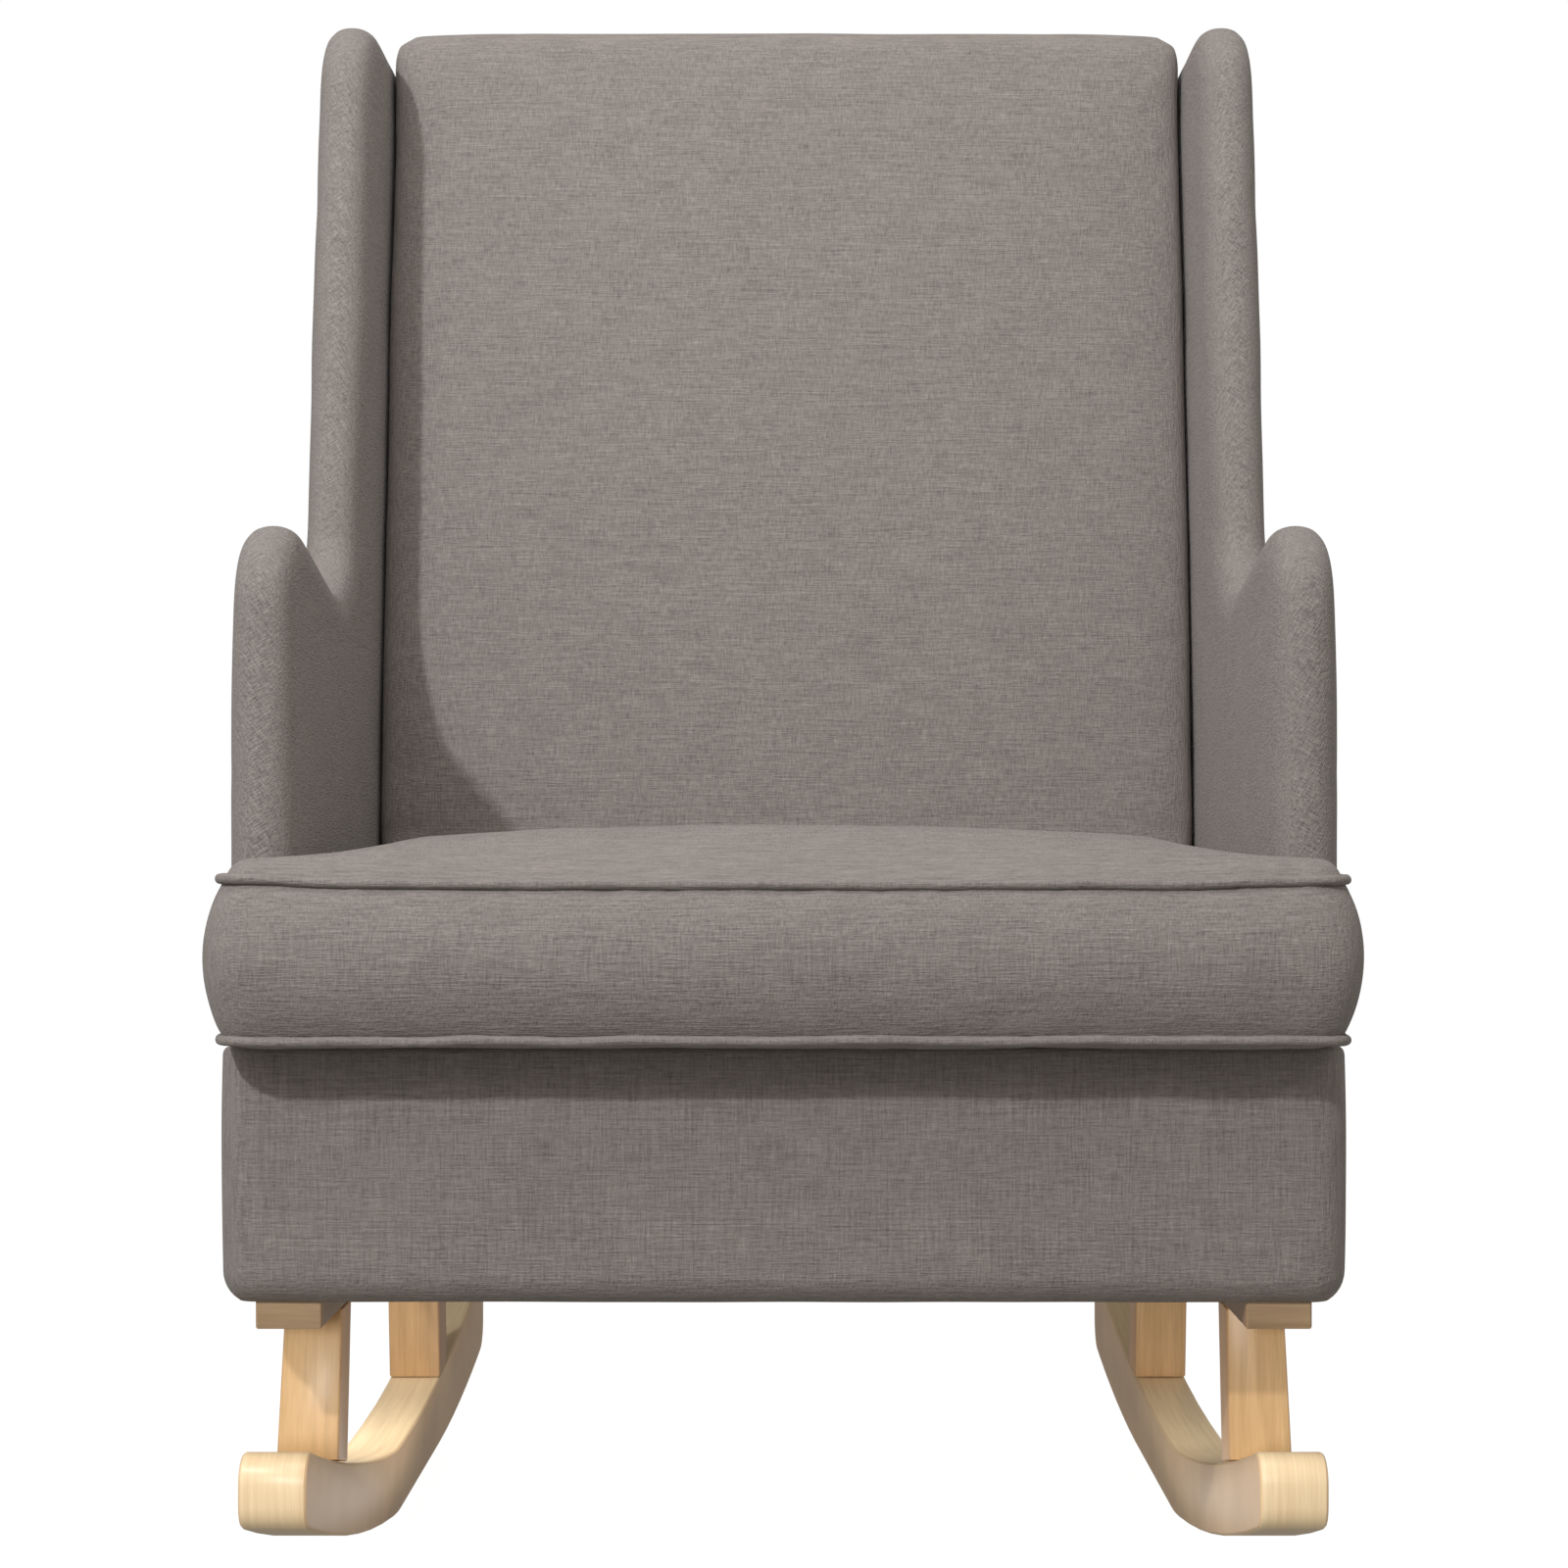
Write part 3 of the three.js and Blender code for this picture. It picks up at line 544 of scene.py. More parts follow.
def plywood(name, across):
    """Plywood whose plies are stacked along the axis across (0, 1 or 2)."""
    shader = Shader(name)
    size = [PLY["length"]] * 3
    size[across] = PLY["thickness"]
    plies = shader.cloud(shader.turned((0, 0, 0), size), detail=0.0)
    grain = [PLY["figure"]] * 3
    grain[(across + 1) % 3] = PLY["figure_length"]
    face = shader.cloud(shader.turned((0, 0, 0), grain), detail=3.0, distortion=0.4)
    shade = shader.total([(plies, 0.9), (face, 0.7)])
    shader.relief(shader.total([(plies, 0.5), (face, 0.5)]), 0.2 * MM, 0.5)
    return shader.finish(
        base_color=shader.tint(shade, (0.36, 0.23, 0.12), (0.68, 0.5, 0.3)), roughness=0.7
    )


def black_cloth(name):
    """Spun black fabric, pressed into a pattern of small dots."""
    shader = Shader(name)
    sockets = {"Vector": shader.place, "Scale": 420.0, "Randomness": 0.25}
    dots = shader.node("ShaderNodeTexVoronoi", sockets, feature="SMOOTH_F1")["Distance"]
    fibres = shader.cloud(shader.place, scale=900.0, detail=3.0)
    shader.relief(shader.total([(dots, 1.2), (fibres, 0.4)]), 0.4 * MM, 0.6)
    worn = shader.cloud(shader.place, scale=14.0, detail=2.0)
    shade = shader.total([(fibres, 0.6), (worn, 0.4)])
    return shader.finish(
        base_color=shader.tint(shade, (0.010, 0.010, 0.012), (0.042, 0.042, 0.047)), roughness=0.95
    )


def webbing(name):
    """Elastic webbing with ribs across its length."""
    shader = Shader(name)
    sockets = {"Vector": shader.place, "Scale": 105.0, "Distortion": 0.6}
    ribs = shader.node("ShaderNodeTexWave", sockets, wave_type="BANDS", bands_direction="X")["Fac"]
    threads = shader.cloud(shader.turned((0, 0, 0), (20 * MM, 1 * MM, 1 * MM)), detail=1.0)
    shader.relief(shader.total([(ribs, 1.0), (threads, 0.5)]), 0.5 * MM, 0.7)
    return shader.finish(
        base_color=shader.tint(threads, (0.012, 0.012, 0.014), (0.06, 0.06, 0.066)), roughness=0.85
    )


def metal(name, dark, light, roughness, brushed):
    """Plated or drawn steel, with fine marks of the sizes brushed along X, Y and Z."""
    shader = Shader(name)
    marks = shader.cloud(shader.turned((0, 0, 0), brushed), detail=3.0)
    bloom = shader.cloud(shader.place, scale=160.0, detail=2.0)
    shade = shader.total([(marks, 0.5), (bloom, 0.7)])
    shader.relief(marks, 0.05 * MM, 0.4)
    gloss = shader.math("ADD", shader.math("MULTIPLY", bloom, 0.12), roughness)
    return shader.finish(base_color=shader.tint(shade, dark, light), roughness=gloss, metallic=1.0)


def foam_material():
    """Pale cut foam with fine open cells."""
    shader = Shader("cut foam")
    sockets = {"Vector": shader.place, "Scale": 700.0}
    cells = shader.node("ShaderNodeTexVoronoi", sockets, feature="F1")["Distance"]
    blotch = shader.cloud(shader.place, scale=25.0, detail=3.0)
    shader.relief(cells, 0.5 * MM, 0.6)
    shade = shader.total([(cells, 0.9), (blotch, 0.5)])
    return shader.finish(
        base_color=shader.tint(shade, (0.66, 0.60, 0.43), (0.86, 0.82, 0.68)), roughness=0.95
    )


STRAIGHT_LINEN = linen("linen", STRAIGHT, 0.6, (5.5 * MM, 26 * MM))
BIAS_LINEN = {
    end: linen(f"linen on the {end} arm", turns, 0.74, (3.2 * MM, 9 * MM)) for end, turns in BIAS.items()
}
BLACK = black_cloth("spun black cloth")
WEBBING = webbing("elastic webbing")
ZINC = metal("zinc plate", (0.36, 0.37, 0.39), (0.62, 0.63, 0.65), 0.32, (3 * MM, 3 * MM, 0.4 * MM))
SPRING = metal("drawn steel", (0.07, 0.07, 0.075), (0.2, 0.2, 0.21), 0.35, (1 * MM, 9 * MM, 1 * MM))
FOAM = foam_material()
PLY_X = plywood("plywood, plies across x", 0)
PLY_Y = plywood("plywood, plies across y", 1)


def dress(piece, body, slot, material, *stood_for):
    """Gives a new piece its material and its body, and hides the CAD nodes that it stands for. slot is not
    used.
    """
    piece.data.materials.clear()
    piece.data.materials.append(material)
    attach(piece, body)
    if stood_for:
        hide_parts(*stood_for)
    return piece


# ---------------------------------------------------------------- seat box


def make_base():
    """The upholstered walls of the seat box: one profile carried round its plan."""
    half, front, rear = BASE_HIGH.x, BASE_LOW.y, BASE_HIGH.y
    path, outward = evenly(rounded_box(half, front, rear, BASE_CORNER, 10), VOXEL)
    lower, upper = BASE_EDGES
    low, high = BASE_LOW.z, BASE_HIGH.z
    profile = [(-BASE_WALL, low + BASE_HEM)]
    for turn in np.linspace(BASE_UNDER, QUARTER, 7):
        profile.append((lower * (math.sin(turn) - 1), low + lower * (1 - math.cos(turn))))
    for height in np.linspace(low + lower, high - upper, 14)[1:]:
        rise = (height - low - lower) / (high - upper - low - lower)
        profile.append((BASE_BULGE * math.sin(math.pi * rise), height))
    for turn in np.linspace(0, QUARTER, 6)[1:]:
        profile.append((upper * (math.cos(turn) - 1), high - upper + upper * math.sin(turn)))
    profile.append((-BASE_WALL, high))
    profile.extend((-BASE_WALL, height) for height in np.linspace(high, low + BASE_HEM, 8)[1:-1])
    rings = [[(*(p + n * out), z) for out, z in profile] for p, n in zip(path, outward)]
    base = loft("base_upholstery", rings, closed=True)
    points = points_of(base)
    ahead = swell(SIDE_LOW.y - points[:, 1], *BASE_LIP_START)
    points[:, 2] += (BASE_RISE + BASE_LIP * ahead) * swell(points[:, 2], high - BASE_TOP_BAND, high)
    set_points(base, points)
    roughen(base, 0.5 * MM, 70 * MM, 1)
    dress(base, "chair", "upholstery", STRAIGHT_LINEN, "base_cover")


def make_deck():
    """The sprung platform under the cushion, sewn into a border and a middle."""
    half, front, rear = DECK_HIGH.x, DECK_LOW.y, DECK_HIGH.y
    edge = DECK["edge"]
    rings = []
    for turn in np.linspace(-QUARTER, QUARTER, 9):
        inset = edge * (1 - math.cos(turn))
        height = DECK_LOW.z + edge if turn < 0 else DECK_HIGH.z - edge
        z = height + edge * math.sin(turn)
        plan = rounded_box(half - inset, front + inset, rear - inset, DECK["corner"])
        rings.append([(*p, z) for p in plan])
    deck = loft("seat_platform", rings)
    remesh(deck, DECK["voxel"])
    relax(deck, 2)
    points = points_of(deck)
    x, y, z = points.T
    border = np.minimum(half - np.abs(x), np.minimum(y - front, rear - y))
    seam = np.exp(-(((border - DECK_BORDER) / DECK_SEAM["half_width"]) ** 2))
    dish = swell(border, DECK_DISH["start"], DECK_DISH["end"])
    upper = swell(z, *(DECK_HIGH.z - depth for depth in DECK_SKIN))
    points[:, 2] -= upper * (DECK_SEAM["depth"] * seam + DECK_DISH["depth"] * dish)
    set_points(deck, points)
    dress(deck, "chair", "black_cloth", BLACK, "seat_deck")


# ---------------------------------------------------------------- side panels


def side_outline(inset, sole):
    """Side view (y, z) of an arm and wing, moved in by inset, and by sole at its foot."""
    wing_top = WING_FOOT + WING_LEAN * (SIDE_HIGH.z - ARM_DIP)
    radii = {key: max(SMALLEST, radius - inset) for key, radius in SIDE_RADII.items()}
    return rounded_outline(
        [
            (SIDE_LOW.y + inset, SIDE_LOW.z + sole, radii["foot"]),
            (SIDE_LOW.y + inset, ARM_TOP - ARM_SLOPE * inset, radii["arm"]),
            (WING_FOOT + inset, ARM_DIP - inset, SIDE_RADII["dip"] + inset),
            (wing_top + inset, SIDE_HIGH.z - WING_SLOPE * inset, radii["wing"]),
            (SIDE_HIGH.y - REAR_SLOPE * inset, SIDE_HIGH.z - WING_SLOPE * inset, radii["rear"]),
            (SIDE_REAR_FOOT - REAR_SLOPE * inset, SIDE_LOW.z + sole, radii["foot"]),
        ],
        12,
    )


def make_sides():
    """One padded arm and wing on each side, rounded off from both faces towards its edge."""
    middle = (SIDE_INNER + SIDE_HIGH.x) / 2
    thick = SIDE_HIGH.x - middle
    rings = []
    for turn in np.linspace(-QUARTER, QUARTER, 23):
        bow = 1 - abs(math.cos(turn)) ** SIDE_FULLNESS
        x = middle + math.copysign(thick * abs(math.sin(turn)) ** SIDE_FULLNESS, turn)
        rings.append([(x, y, z) for y, z in side_outline(SIDE_NOSE * bow, SIDE_SOLE * bow)])
    side = loft("side_upholstery_right", rings)
    remesh(side, VOXEL)
    relax(side, 4)
    puff(side, SIDE_PUFF["cap"], lambda p: p[:, 2] < SIDE_LOW.z + SIDE_PUFF["held"])
    points = points_of(side)
    points[:, 0] = np.maximum(points[:, 0], SIDE_INNER + CLEARANCE)
    points[:, 2] = np.maximum(points[:, 2], SIDE_LOW.z)
    set_points(side, points)
    relax(side, 2)
    subdivide(side)
    points = points_of(side)
    shrunk = points[:, 2].min(), points[:, 2].max()
    points[:, 2] = np.interp(points[:, 2], shrunk, (SIDE_LOW.z, SIDE_HIGH.z))
    set_points(side, points)
    roughen(side, 0.7 * MM, 60 * MM, 4)
    for end, piece in (("right", side), ("left", mirrored(side, "side_upholstery_left"))):
        nodes = f"side_pad_inner_{end}", f"side_pad_outer_{end}"
        dress(piece, "chair", "upholstery", BIAS_LINEN[end], *nodes)


# ---------------------------------------------------------------- back


def back_plane(z):
    """y of the front of the back at height z."""
    return BACK_HIGH.y - (BACK_HIGH.z - z) * BACK_LEAN - BACK_PAD / math.cos(BACK_ANGLE)


def reach_sides(points, half):
    """Moves the flanks of the back out, level by level, until they reach half."""
    x, z = points[:, 0], points[:, 2]
    levels = np.linspace(z.min(), z.max(), FLANK_LEVELS)
    band = levels[1] - levels[0]
    widest = np.array([np.abs(x[np.abs(z - level) < band]).max() for level in levels])
    lacking = np.interp(z, levels[2:-3], np.maximum(half - widest, 0)[2:-3])
    moved = points.copy()
    moved[:, 0] += np.sign(x) * lacking * swell(np.abs(x), FLANK_START * half, half)
    return moved


def make_back():
    """The padded inside back: a leaning slab with soft corners and a crowned face."""
    half = BACK_HIGH.x
    height = BACK_HIGH.z - BACK_PAD * math.sin(BACK_ANGLE) - BACK_LOW.z
    length = height / math.cos(BACK_ANGLE) + BACK_PAD * math.tan(BACK_ANGLE) / 2
    lean = Matrix.Rotation(-BACK_ANGLE, 3, "X")
    foot = Vector((0, BACK_LOW.y, BACK_LOW.z + BACK_PAD * math.sin(BACK_ANGLE)))
    rings = []
    for turn in np.linspace(-QUARTER, QUARTER, 15):
        inset = BACK_EDGE * (1 - math.cos(turn))
        depth = BACK_PAD / 2 + math.copysign(BACK_PAD / 2 - BACK_EDGE, turn) + BACK_EDGE * math.sin(turn)
        corner = max(BACK_CORNER - inset, SMALLEST)
        outline = rounded_box(half - inset, inset, length - inset, corner)
        rings.append([foot + lean @ Vector((x, depth, up)) for x, up in outline])
    back = loft("back_upholstery", rings)
    remesh(back, VOXEL)
    relax(back, 4)
    puff(back, BACK_PUFF["cap"], lambda p: p[:, 2] < BACK_LOW.z + BACK_PUFF["held"], BACK_PUFF["pressure"])
    relax(back, 2)
    subdivide(back)
    roughen(back, 0.8 * MM, 90 * MM, 7)
    widest = SIDE_INNER - BACK_SIDE_GAP
    points = reach_sides(points_of(back), widest)
    points[:, 0] = np.clip(points[:, 0], -widest, widest)
    top = points[:, 2].max()
    drop = BACK_CROWN * (points[:, 0] / widest) ** BACK_CROWN_POWER
    points[:, 2] -= drop * swell(points[:, 2], top - BACK_CROWN_REACH, top)
    set_points(back, points)
    dress(back, "chair", "upholstery", STRAIGHT_LINEN, "back_pad")


def add_flaps(cover):
    """Adds the strips of fabric that turn round the two ends of the frame."""
    work = bmesh.new()
    work.from_mesh(cover.data)
    for side in (-1, 1):
        ends = sorted(side * (COVER_HIGH.x + out) for out in FLAP)
        low = (ends[0], COVER_LOW.y - FLAP_REACH, COVER_LOW.z)
        block(work, low, (ends[1], COVER_HIGH.y - FLAP_INSET, COVER_HIGH.z - FLAP_INSET))
    work.to_mesh(cover.data)
    work.free()


def make_back_cover():
    """The outside back: fabric on thin padding, down the rear and over the top."""
    thick, roll = COVER["thickness"], COVER["roll"]
    outer, top, low = COVER_HIGH.y, COVER_HIGH.z, COVER_LOW.z
    spine = [(COVER_LOW.y, top)]
    for turn in np.linspace(0, QUARTER, 8):
        spine.append((outer - roll + roll * math.sin(turn), top - roll + roll * math.cos(turn)))
    spine.extend((outer, z) for z in np.linspace(top - roll, low, 40)[1:])
    inner = [(y, top - thick) if z > top - thick else (outer - thick, z) for y, z in spine]
    inner = [(min(y, outer - thick), min(z, top - thick)) for y, z in inner]
    profile = spine + inner[::-1]
    rings = []
    for x in np.linspace(-COVER_HIGH.x, COVER_HIGH.x, 90):
        rings.append([(x, y, z) for y, z in profile])
    cover = loft("outside_back_upholstery", rings)
    chamfer(cover, COVER["chamfer"], 3)
    add_flaps(cover)
    dress(cover, "chair", "upholstery", STRAIGHT_LINEN, "back_cover")


# ---------------------------------------------------------------- seat cushion


def cushion_outline(inset, steps=8):
    """Plan view of the cushion, moved in by inset: wide ears in front of the arms, a body between."""
    ear, body = CASE_HIGH.x - inset, BODY_HALF - inset
    front, ear_rear, rear = CASE_LOW.y + inset, EAR_REAR - inset, CASE_HIGH.y - inset
    radii = {key: max(SMALLEST, radius - inset) for key, radius in CUSHION_RADII.items()}
    radii["inner"] = CUSHION_RADII["inner"] + inset
    right = [
        (ear, front, radii["front"]),
        (ear, ear_rear, radii["ear"]),
        (body, ear_rear, radii["inner"]),
        (body, rear, radii["rear"]),
    ]
    return rounded_outline(right + [(-x, y, radius) for x, y, radius in reversed(right)], steps)


def distance_inside(points, outline):
    """How far each (x, y) lies from a closed outline."""
    ring = np.array([tuple(p) for p in outline])
    nearest = np.full(len(points), np.inf)
    for start, end in zip(ring, np.roll(ring, -1, axis=0)):
        along = end - start
        share = np.clip((points - start) @ along / max(along @ along, TINY), 0, 1)
        nearest = np.minimum(nearest, np.linalg.norm(points - start - share[:, None] * along, axis=1))
    return nearest


def clear_neighbours(points):
    """Keeps the cushion off the deck, the arms, the back and the zip."""
    x, y, z = points.T
    z = np.maximum(z, DECK_HIGH.z + CLEARANCE)
    arm_front = SIDE_LOW.y - ARM_GAP
    side, ear_root = SIDE_INNER - CLEARANCE, SIDE_INNER + EAR_ROOT
    beside = (y > arm_front) & (np.abs(x) < ear_root)
    x = np.where(beside, np.clip(x, -side, side), x)
    y = np.where(np.abs(x) > ear_root, np.minimum(y, arm_front), y)
    y = np.minimum(y, back_plane(z) - 2 * CLEARANCE)
    in_zip = (np.abs(x) < ZIP_HIGH.x) & (z > ZIP_LOW.z) & (z < ZIP_HIGH.z) & (y > CASE_HIGH.y - ZIP_DEPTH)
    y = np.where(in_zip, ZIP_LOW.y, y)
    return np.stack([x, y, z], axis=1)


def near_seam(points):
    """True at the points that the piping and the zip hold in place."""
    low, high = SEAMS
    x, y, z = points.T
    seam = np.minimum(np.abs(z - low), np.abs(z - high)) < CUSHION_HELD["height"]
    edge = distance_inside(points[:, :2], cushion_outline(0)) < CUSHION_HELD["depth"]
    zip_level = np.abs(z - (ZIP_LOW.z + ZIP_HIGH.z) / 2) < ZIP_HELD["height"]
    zip_band = zip_level & (y > CASE_HIGH.y - ZIP_HELD["depth"])
    return (seam & edge) | (zip_band & (np.abs(x) < ZIP_HIGH.x + ZIP_HELD["past_end"]))


def crown_and_bulge(cushion):
    """Raises the crown between the upper seams, and swells the boxing between the two seams."""
    low, high = SEAMS
    points = points_of(cushion)
    out = normals_of(cushion) * (1, 1, 0)
    x, z = points[:, 0], points[:, 2]
    inside = distance_inside(points[:, :2], cushion_outline(0))
    full = (CROWN["height"] - CROWN["fall"] * x * x) / (CASE_HIGH.z - high)
    lift = 1 + (full - 1) * swell(inside, 0, CROWN["shoulder"])
    points[:, 2] = np.where(z > high, high + (z - high) * lift, z)
    between = np.clip((z - low) / (high - low), 0, 1)
    swollen = BOXING_BULGE * np.sin(math.pi * between) ** BOXING_FULLNESS
    at_zip = np.exp(-(((z - ZIP_LOW.z) / ZIP_CALM["height"]) ** 2))
    zip_calm = 1 - ZIP_CALM["share"] * at_zip * (points[:, 1] > CASE_HIGH.y - ZIP_CALM["depth"])
    points += out * (swollen * zip_calm)[:, None]
    points[:, 2] += corner_lift(points[:, 0], points[:, 1]) * between
    set_points(cushion, clear_neighbours(points))


def pucker(cushion):
    """Small gathers where the fabric is sewn to the piping."""
    low, high = SEAMS
    points = points_of(cushion)
    gap = np.minimum(np.abs(points[:, 2] - low), np.abs(points[:, 2] - high))
    edge = distance_inside(points[:, :2], cushion_outline(0))
    inward = np.maximum(edge - PUCKER["calm"], 0)
    reach = np.exp(-((np.hypot(gap, inward) / PUCKER["reach"]) ** 2))
    spots = [Vector((x, y, z * PUCKER["stretch"])) / PUCKER["size"] for x, y, z in points]
    height = np.array([noise.noise(spot) for spot in spots]) * reach * PUCKER["height"]
    set_points(cushion, clear_neighbours(points + normals_of(cushion) * height[:, None]))


def make_cushion():
    """The loose T cushion: a crowned case with boxed sides, swollen between its piped seams."""
    low, high = SEAMS
    steps = [(CASE_EDGE, CASE_LOW.z), (CASE_UNDER[0], CASE_LOW.z + CASE_UNDER[1]), (0, low)]
    steps += [(0, z) for z in np.linspace(low, high, 12)[1:]]
    steps += [(CASE_OVER[0], high + CASE_OVER[1]), (CASE_EDGE, CASE_HIGH.z)]
    rings = [[(*p, z) for p in cushion_outline(inset - SHRINKAGE)] for inset, z in steps]
    cushion = loft("seat_cushion_case", rings)
    remesh(cushion, VOXEL)
    relax(cushion, 3)
    crown_and_bulge(cushion)
    puff(cushion, CUSHION_PUFF, near_seam)
    set_points(cushion, clear_neighbours(points_of(cushion)))
    relax(cushion, 2)
    subdivide(cushion)
    pucker(cushion)
    roughen(cushion, 0.9 * MM, 55 * MM, 11)
    set_points(cushion, clear_neighbours(points_of(cushion)))
    dress(cushion, "seat_cushion", "upholstery", STRAIGHT_LINEN, "cushion_case")
    return cushion


def make_foam(cushion):
    """The foam core: the case's own shape, a little smaller."""
    core = add_object("seat_cushion_foam", cushion.data.copy())
    for _ in range(2):
        relax(core, 2)
        set_points(core, points_of(core) - normals_of(core) * FOAM_STEP)
    dress(core, "seat_cushion", "foam", FOAM, "cushion_foam")


def corner_lift(x, y):
    """How far the upper seam turns up at (x, y), near the front corners."""
    corner = np.hypot(CASE_HIGH.x - np.abs(x), y - CASE_LOW.y)
    return CORNER_LIFT * np.exp(-((corner / CORNER_REACH) ** 2))


def make_welts():
    """Piping along both seams, a cord inside a fold of the fabric."""
    outline, outward = evenly(cushion_outline(0), WELT_STEP)
    for name, height, seed in (("bottom", SEAMS[0], 3), ("top", SEAMS[1], 5)):
        path = []
        for (x, y), (out_x, out_y) in zip(outline, outward):
            slow = noise.noise(Vector((x, y, seed)) / WELT_SLOW["size"])
            quick = noise.noise(Vector((y, x, seed)) / WELT_QUICK["size"])
            out = WELT_OUTSET + WELT_QUICK["out"] * quick
            lift = corner_lift(x, y) if name == "top" else 0.0
            z = height + lift + WELT_SLOW["up"] * slow + WELT_QUICK["up"] * quick
            path.append((x + out_x * out, y + out_y * out, z))
        welt = tube(f"piping_{name}", path, WELT_RADIUS)
        roughen(welt, 0.35 * MM, 6 * MM, seed)
        dress(welt, "seat_cushion", "upholstery", STRAIGHT_LINEN, f"welt_{name}")


def make_zip():
    """Two tapes and interlocking teeth in the rear of the case."""
    middle = (ZIP_LOW.z + ZIP_HIGH.z) / 2
    tape = bmesh.new()
    block(tape, ZIP_LOW, ZIP_HIGH - Vector((0, TAPE_SKIN, 0)))
    woven = from_bmesh("cushion_zip_tape_woven", tape)
    dress(woven, "seat_cushion", "black_cloth", WEBBING, "cushion_zip_tape")

    teeth = bmesh.new()
    length, overlap = TOOTH["length"], TOOTH["overlap"]
    for i in range(int(2 * ZIP_HIGH.x / TOOTH["pitch"]) - 1):
        x = ZIP_LOW.x + TOOTH["pitch"] * (i + 1)
        start = middle - length if i % 2 else middle - overlap
        low = (x, ZIP_HIGH.y - overlap, start)
        block(teeth, low, (x + TOOTH["width"], ZIP_HIGH.y + TOOTH["proud"], start + length + overlap))
    rows = from_bmesh("cushion_zip_teeth", teeth)
    chamfer(rows, TOOTH["chamfer"], 1)
    dress(rows, "seat_cushion", "zinc_steel", ZINC)


def make_slider():
    """The zip's slider: a floor, two plates and a post, with a hanging pull tab."""
    low, high = SLIDER_LOW, SLIDER_HIGH
    middle = (low + high) / 2
    lip = high.y - SLIDER_LIP
    slider = bmesh.new()
    block(slider, low, (high.x, low.y + SLIDER_FLOOR, high.z))
    block(slider, low, (high.x, lip, low.z + SLIDER_PLATE))
    block(slider, (low.x, low.y, high.z - SLIDER_PLATE), (high.x, lip, high.z))
    post_low = (low.x + POST.x, low.y + POST.y, middle.z - POST.z)
    block(slider, post_low, (high.x - POST.x, high.y, middle.z + POST.z))

    half, drop, rear = TAB["half_width"], TAB["drop"], high.y + TAB["half_thick"]
    front = high.y - TAB["half_thick"]
    for x in (middle.x - half, middle.x + half - TAB["side"]):
        block(slider, (x, front, middle.z - drop), (x + TAB["side"], rear, middle.z))
    for z in (middle.z - drop, middle.z - TAB["bar"]):
        block(slider, (middle.x - half, front, z), (middle.x + half, rear, z + TAB["bar"]))
    piece = from_bmesh("zip_slider_and_pull", slider)
    chamfer(piece, SLIDER_CHAMFER)
    dress(piece, "zip_slider", "zinc_steel", ZINC, "zip_slider")


# ---------------------------------------------------------------- wood, springs and hardware

PALE, HONEY, AMBER = (0.90, 0.72, 0.45), (0.84, 0.56, 0.28), (0.70, 0.44, 0.22)  # clear birch
ROCKER_WOOD = wood("birch rocker", PALE, (0.66, 0.47, 0.26), (3.0 * MM, 110 * MM, 90 * MM), 1)
LEG_GRAIN = (3.4 * MM, 11 * MM, 110 * MM)
LEG_WOOD = wood("birch front leg", HONEY, (0.56, 0.34, 0.15), LEG_GRAIN, 2)
REAR_LEG_WOOD = wood("birch rear leg", AMBER, (0.42, 0.25, 0.11), LEG_GRAIN, 5)
CLEAT_WOOD = wood("birch cleat", (0.60, 0.42, 0.25), (0.42, 0.27, 0.14), (60 * MM, 120 * MM, 3.4 * MM), 3)
HARD_MATERIALS = {
    "rocker_left": ROCKER_WOOD,
    "rocker_right": ROCKER_WOOD,
    "leg_front": LEG_WOOD,
    "leg_rear": REAR_LEG_WOOD,
    "cleat_left": CLEAT_WOOD,
    "cleat_right": CLEAT_WOOD,
    "corner_block": CLEAT_WOOD,
    "seat_rail_front": PLY_Y,
    "seat_rail_rear": PLY_Y,
    "back_panel": PLY_Y,
    "back_rail": PLY_Y,
    "seat_rail": PLY_X,
    "side_board": PLY_X,
    "back_stile": PLY_X,
    "back_strap": WEBBING,
    "dust_cover": BLACK,
    "seat_spring": SPRING,
}


def soften(node):
    """Rounds the sharp edges of a CAD node, and shades its curved faces smoothly."""
    node.data.polygons.foreach_set("use_smooth", [True] * len(node.data.polygons))
    weld = node.modifiers.new("weld", "WELD")
    weld.merge_threshold = HARD_EDGE["weld"]
    if node.name.startswith("seat_spring"):
        wire = node.modifiers.new("round wire", "SUBSURF")
        wire.levels = wire.render_levels = 1
        return
    bevel(node, HARD_EDGE["width"], HARD_EDGE["crease"])


def finish_hard_parts():
    """Every CAD node that stays shown gets its material and rounded edges."""
    for name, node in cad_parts.items():
        if node.hide_render:
            continue
        found = [material for start, material in HARD_MATERIALS.items() if name.startswith(start)]
        node.data.materials.clear()
        node.data.materials.append(found[0] if found else ZINC)
        soften(node)


# ---------------------------------------------------------------- stage

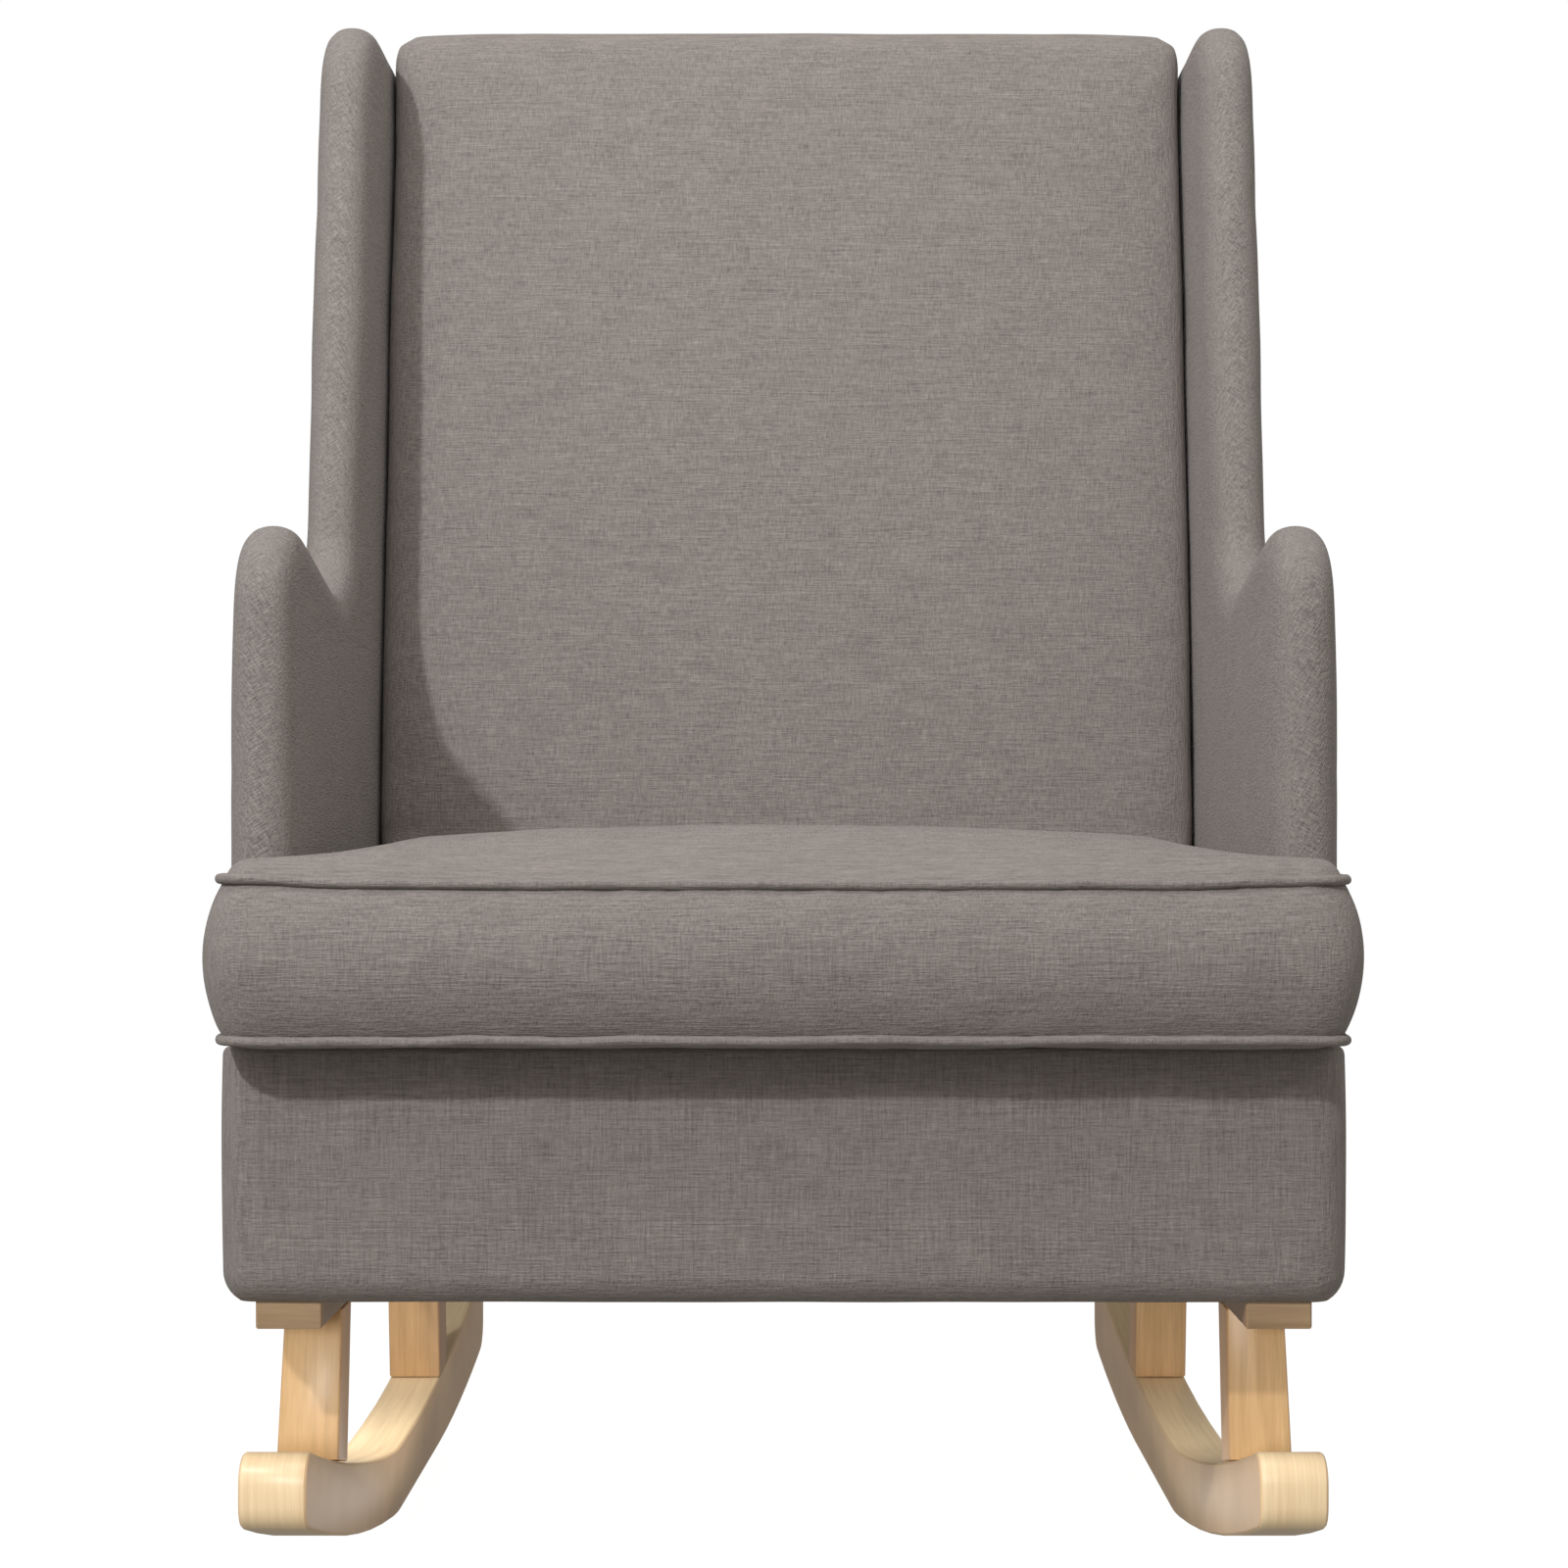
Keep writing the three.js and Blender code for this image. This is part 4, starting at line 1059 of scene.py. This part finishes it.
EYE = Vector((0.0091, -2.0515, 0.489))  # where the camera stands
LENS, SENSOR = 63.0, 36.0  # in millimetres, as a camera states them
FRAMING = (-0.0095, 0.03125)  # lens shift, across and up
SKY = {"ahead": 0.9, "beside": 0.52, "below": 0.27}  # strengths by direction
SKY_COLOUR = (1.0, 0.965, 0.925)  # of the light from the room
HORIZON = (-0.09, -0.01)  # heights between which the dark floor of the room turns into its walls
KEY = {"place": (-1.17, -2.27, 2.11), "aim": (0, -0.1, 0.6), "colour": (0.99, 1.0, 1.04)}
LAMPS = {
    "key": {**KEY, "size": 0.125, "power": 32},
    "key spill": {**KEY, "size": 1.0, "power": 8},
    "overhead": {"place": (0, -1.0, 2.3), "aim": (0, -0.1, 0.8), "size": 0.9, "power": 11},
    "wood fill": {"place": (-0.3, -2.3, 0.5), "aim": (0, -0.1, 0.1), "size": 0.4, "power": 18},
    "rocker fill left": {"place": (-0.3, -0.08, 0.185), "aim": (-0.3, -0.08, 0), "size": 0.2, "power": 0.36},
    "rocker fill right": {"place": (0.3, -0.08, 0.185), "aim": (0.3, -0.08, 0), "size": 0.2, "power": 0.13},
    "under fill": {"place": (0, -0.1, 0.01), "aim": (0, -0.1, 1.0), "size": 0.5, "power": 0.5},
}
FILLED = ("rocker_left", "rocker_right", "leg_")  # the wood that the fills light, and nothing else
FLOOR_GREYS = (0.10, 0.12)  # its own colours, which only the shadow shows
FLOOR_GLOW = 0.985  # what it gives off, so that it looks white
FLOOR_REACH = 12.0  # half its side
FLOOR_DROP = 0.3 * MM  # so that its surface and the rockers' flats don't coincide


def make_camera():
    """A level camera in front of the chair."""
    data = bpy.data.cameras.new("camera")
    data.lens = LENS
    data.sensor_width = SENSOR
    data.shift_x, data.shift_y = FRAMING
    camera = add_object("camera", data)
    camera.location = EYE
    camera.rotation_euler = (QUARTER, 0, 0)
    bpy.context.scene.camera = camera


def make_sky(world):
    """A room that is bright above and in front, and dark below; the lens sees plain white behind it."""
    sky = Graph(world.node_tree)
    background = sky.tree.nodes["Background"].inputs
    parts = sky.node("ShaderNodeSeparateXYZ", {0: sky.node("ShaderNodeTexCoord", {})["Generated"]})
    x, y, z = (parts[axis] for axis in "XYZ")
    ahead = sky.math("MAXIMUM", sky.math("MULTIPLY", y, -1.0), 0.0)
    climb = sky.math("MULTIPLY", sky.math("MAXIMUM", z, 0.0), sky.math("MULTIPLY", ahead, SKY["ahead"]))
    beside = sky.math("MULTIPLY", sky.math("ABSOLUTE", x), SKY["beside"])
    upper = sky.math("SUBTRACT", sky.math("ADD", climb, beside), SKY["below"])
    low, high = HORIZON
    rise = sky.node("ShaderNodeMapRange", {"Value": z, "From Min": low, "From Max": high})["Result"]
    lit = sky.math("ADD", sky.math("MULTIPLY", rise, upper), SKY["below"])
    seen = sky.node("ShaderNodeLightPath", {})["Is Camera Ray"]
    sky.put(background["Strength"], sky.math("MAXIMUM", lit, seen))
    sky.put(background["Color"], sky.mix(seen, (*SKY_COLOUR, 1), (1, 1, 1, 1)))


def make_lamp(name, place, aim, size, power, colour=(1, 1, 1)):
    """A round lamp that the camera doesn't see, aimed at a point."""
    light = bpy.data.lights.new(name, "AREA")
    light.shape = "DISK"
    light.size = size
    light.energy = power
    light.color = colour
    lamp = add_object(name, light)
    lamp.location = place
    lamp.rotation_euler = (Vector(aim) - Vector(place)).to_track_quat("-Z", "Y").to_euler()
    lamp.visible_camera = False
    return lamp


def make_light():
    """Soft light from a bright room, a key from the front left, a soft box above and fills for the wood."""
    world = bpy.data.worlds.new("studio")
    world.use_nodes = True
    make_sky(world)
    bpy.context.scene.world = world
    wood_parts = bpy.data.collections.new("filled wood")
    for name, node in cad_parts.items():
        if name.startswith(FILLED):
            wood_parts.objects.link(node)
    for name, settings in LAMPS.items():
        lamp = make_lamp(name, **settings)
        if "fill" in name:
            lamp.light_linking.receiver_collection = wood_parts


def make_floor():
    """A plain, nearly white floor that shows only the faintest shadow, and throws no light back."""
    shader = Shader("floor")
    blotch = shader.cloud(shader.place, scale=1.5, detail=2.0)
    dark, light = ([grey] * 3 for grey in FLOOR_GREYS)
    material = shader.finish(
        base_color=shader.tint(blotch, dark, light),
        roughness=0.9,
        emission_color=(1, 1, 1, 1),
        emission_strength=FLOOR_GLOW,
    )
    square = ((-1, -1), (1, -1), (1, 1), (-1, 1))
    corners = [(x * FLOOR_REACH, y * FLOOR_REACH, -FLOOR_DROP) for x, y in square]
    floor = new_piece("floor", corners, [(0, 1, 2, 3)])
    floor.data.materials.append(material)
    floor.visible_diffuse = False
    floor.visible_glossy = False


bpy.context.scene.view_settings.view_transform = "Standard"
make_camera()
make_light()
make_floor()
make_base()
make_deck()
make_sides()
make_back()
make_back_cover()
seat_cushion = make_cushion()
make_foam(seat_cushion)
make_welts()
make_zip()
make_slider()
finish_hard_parts()
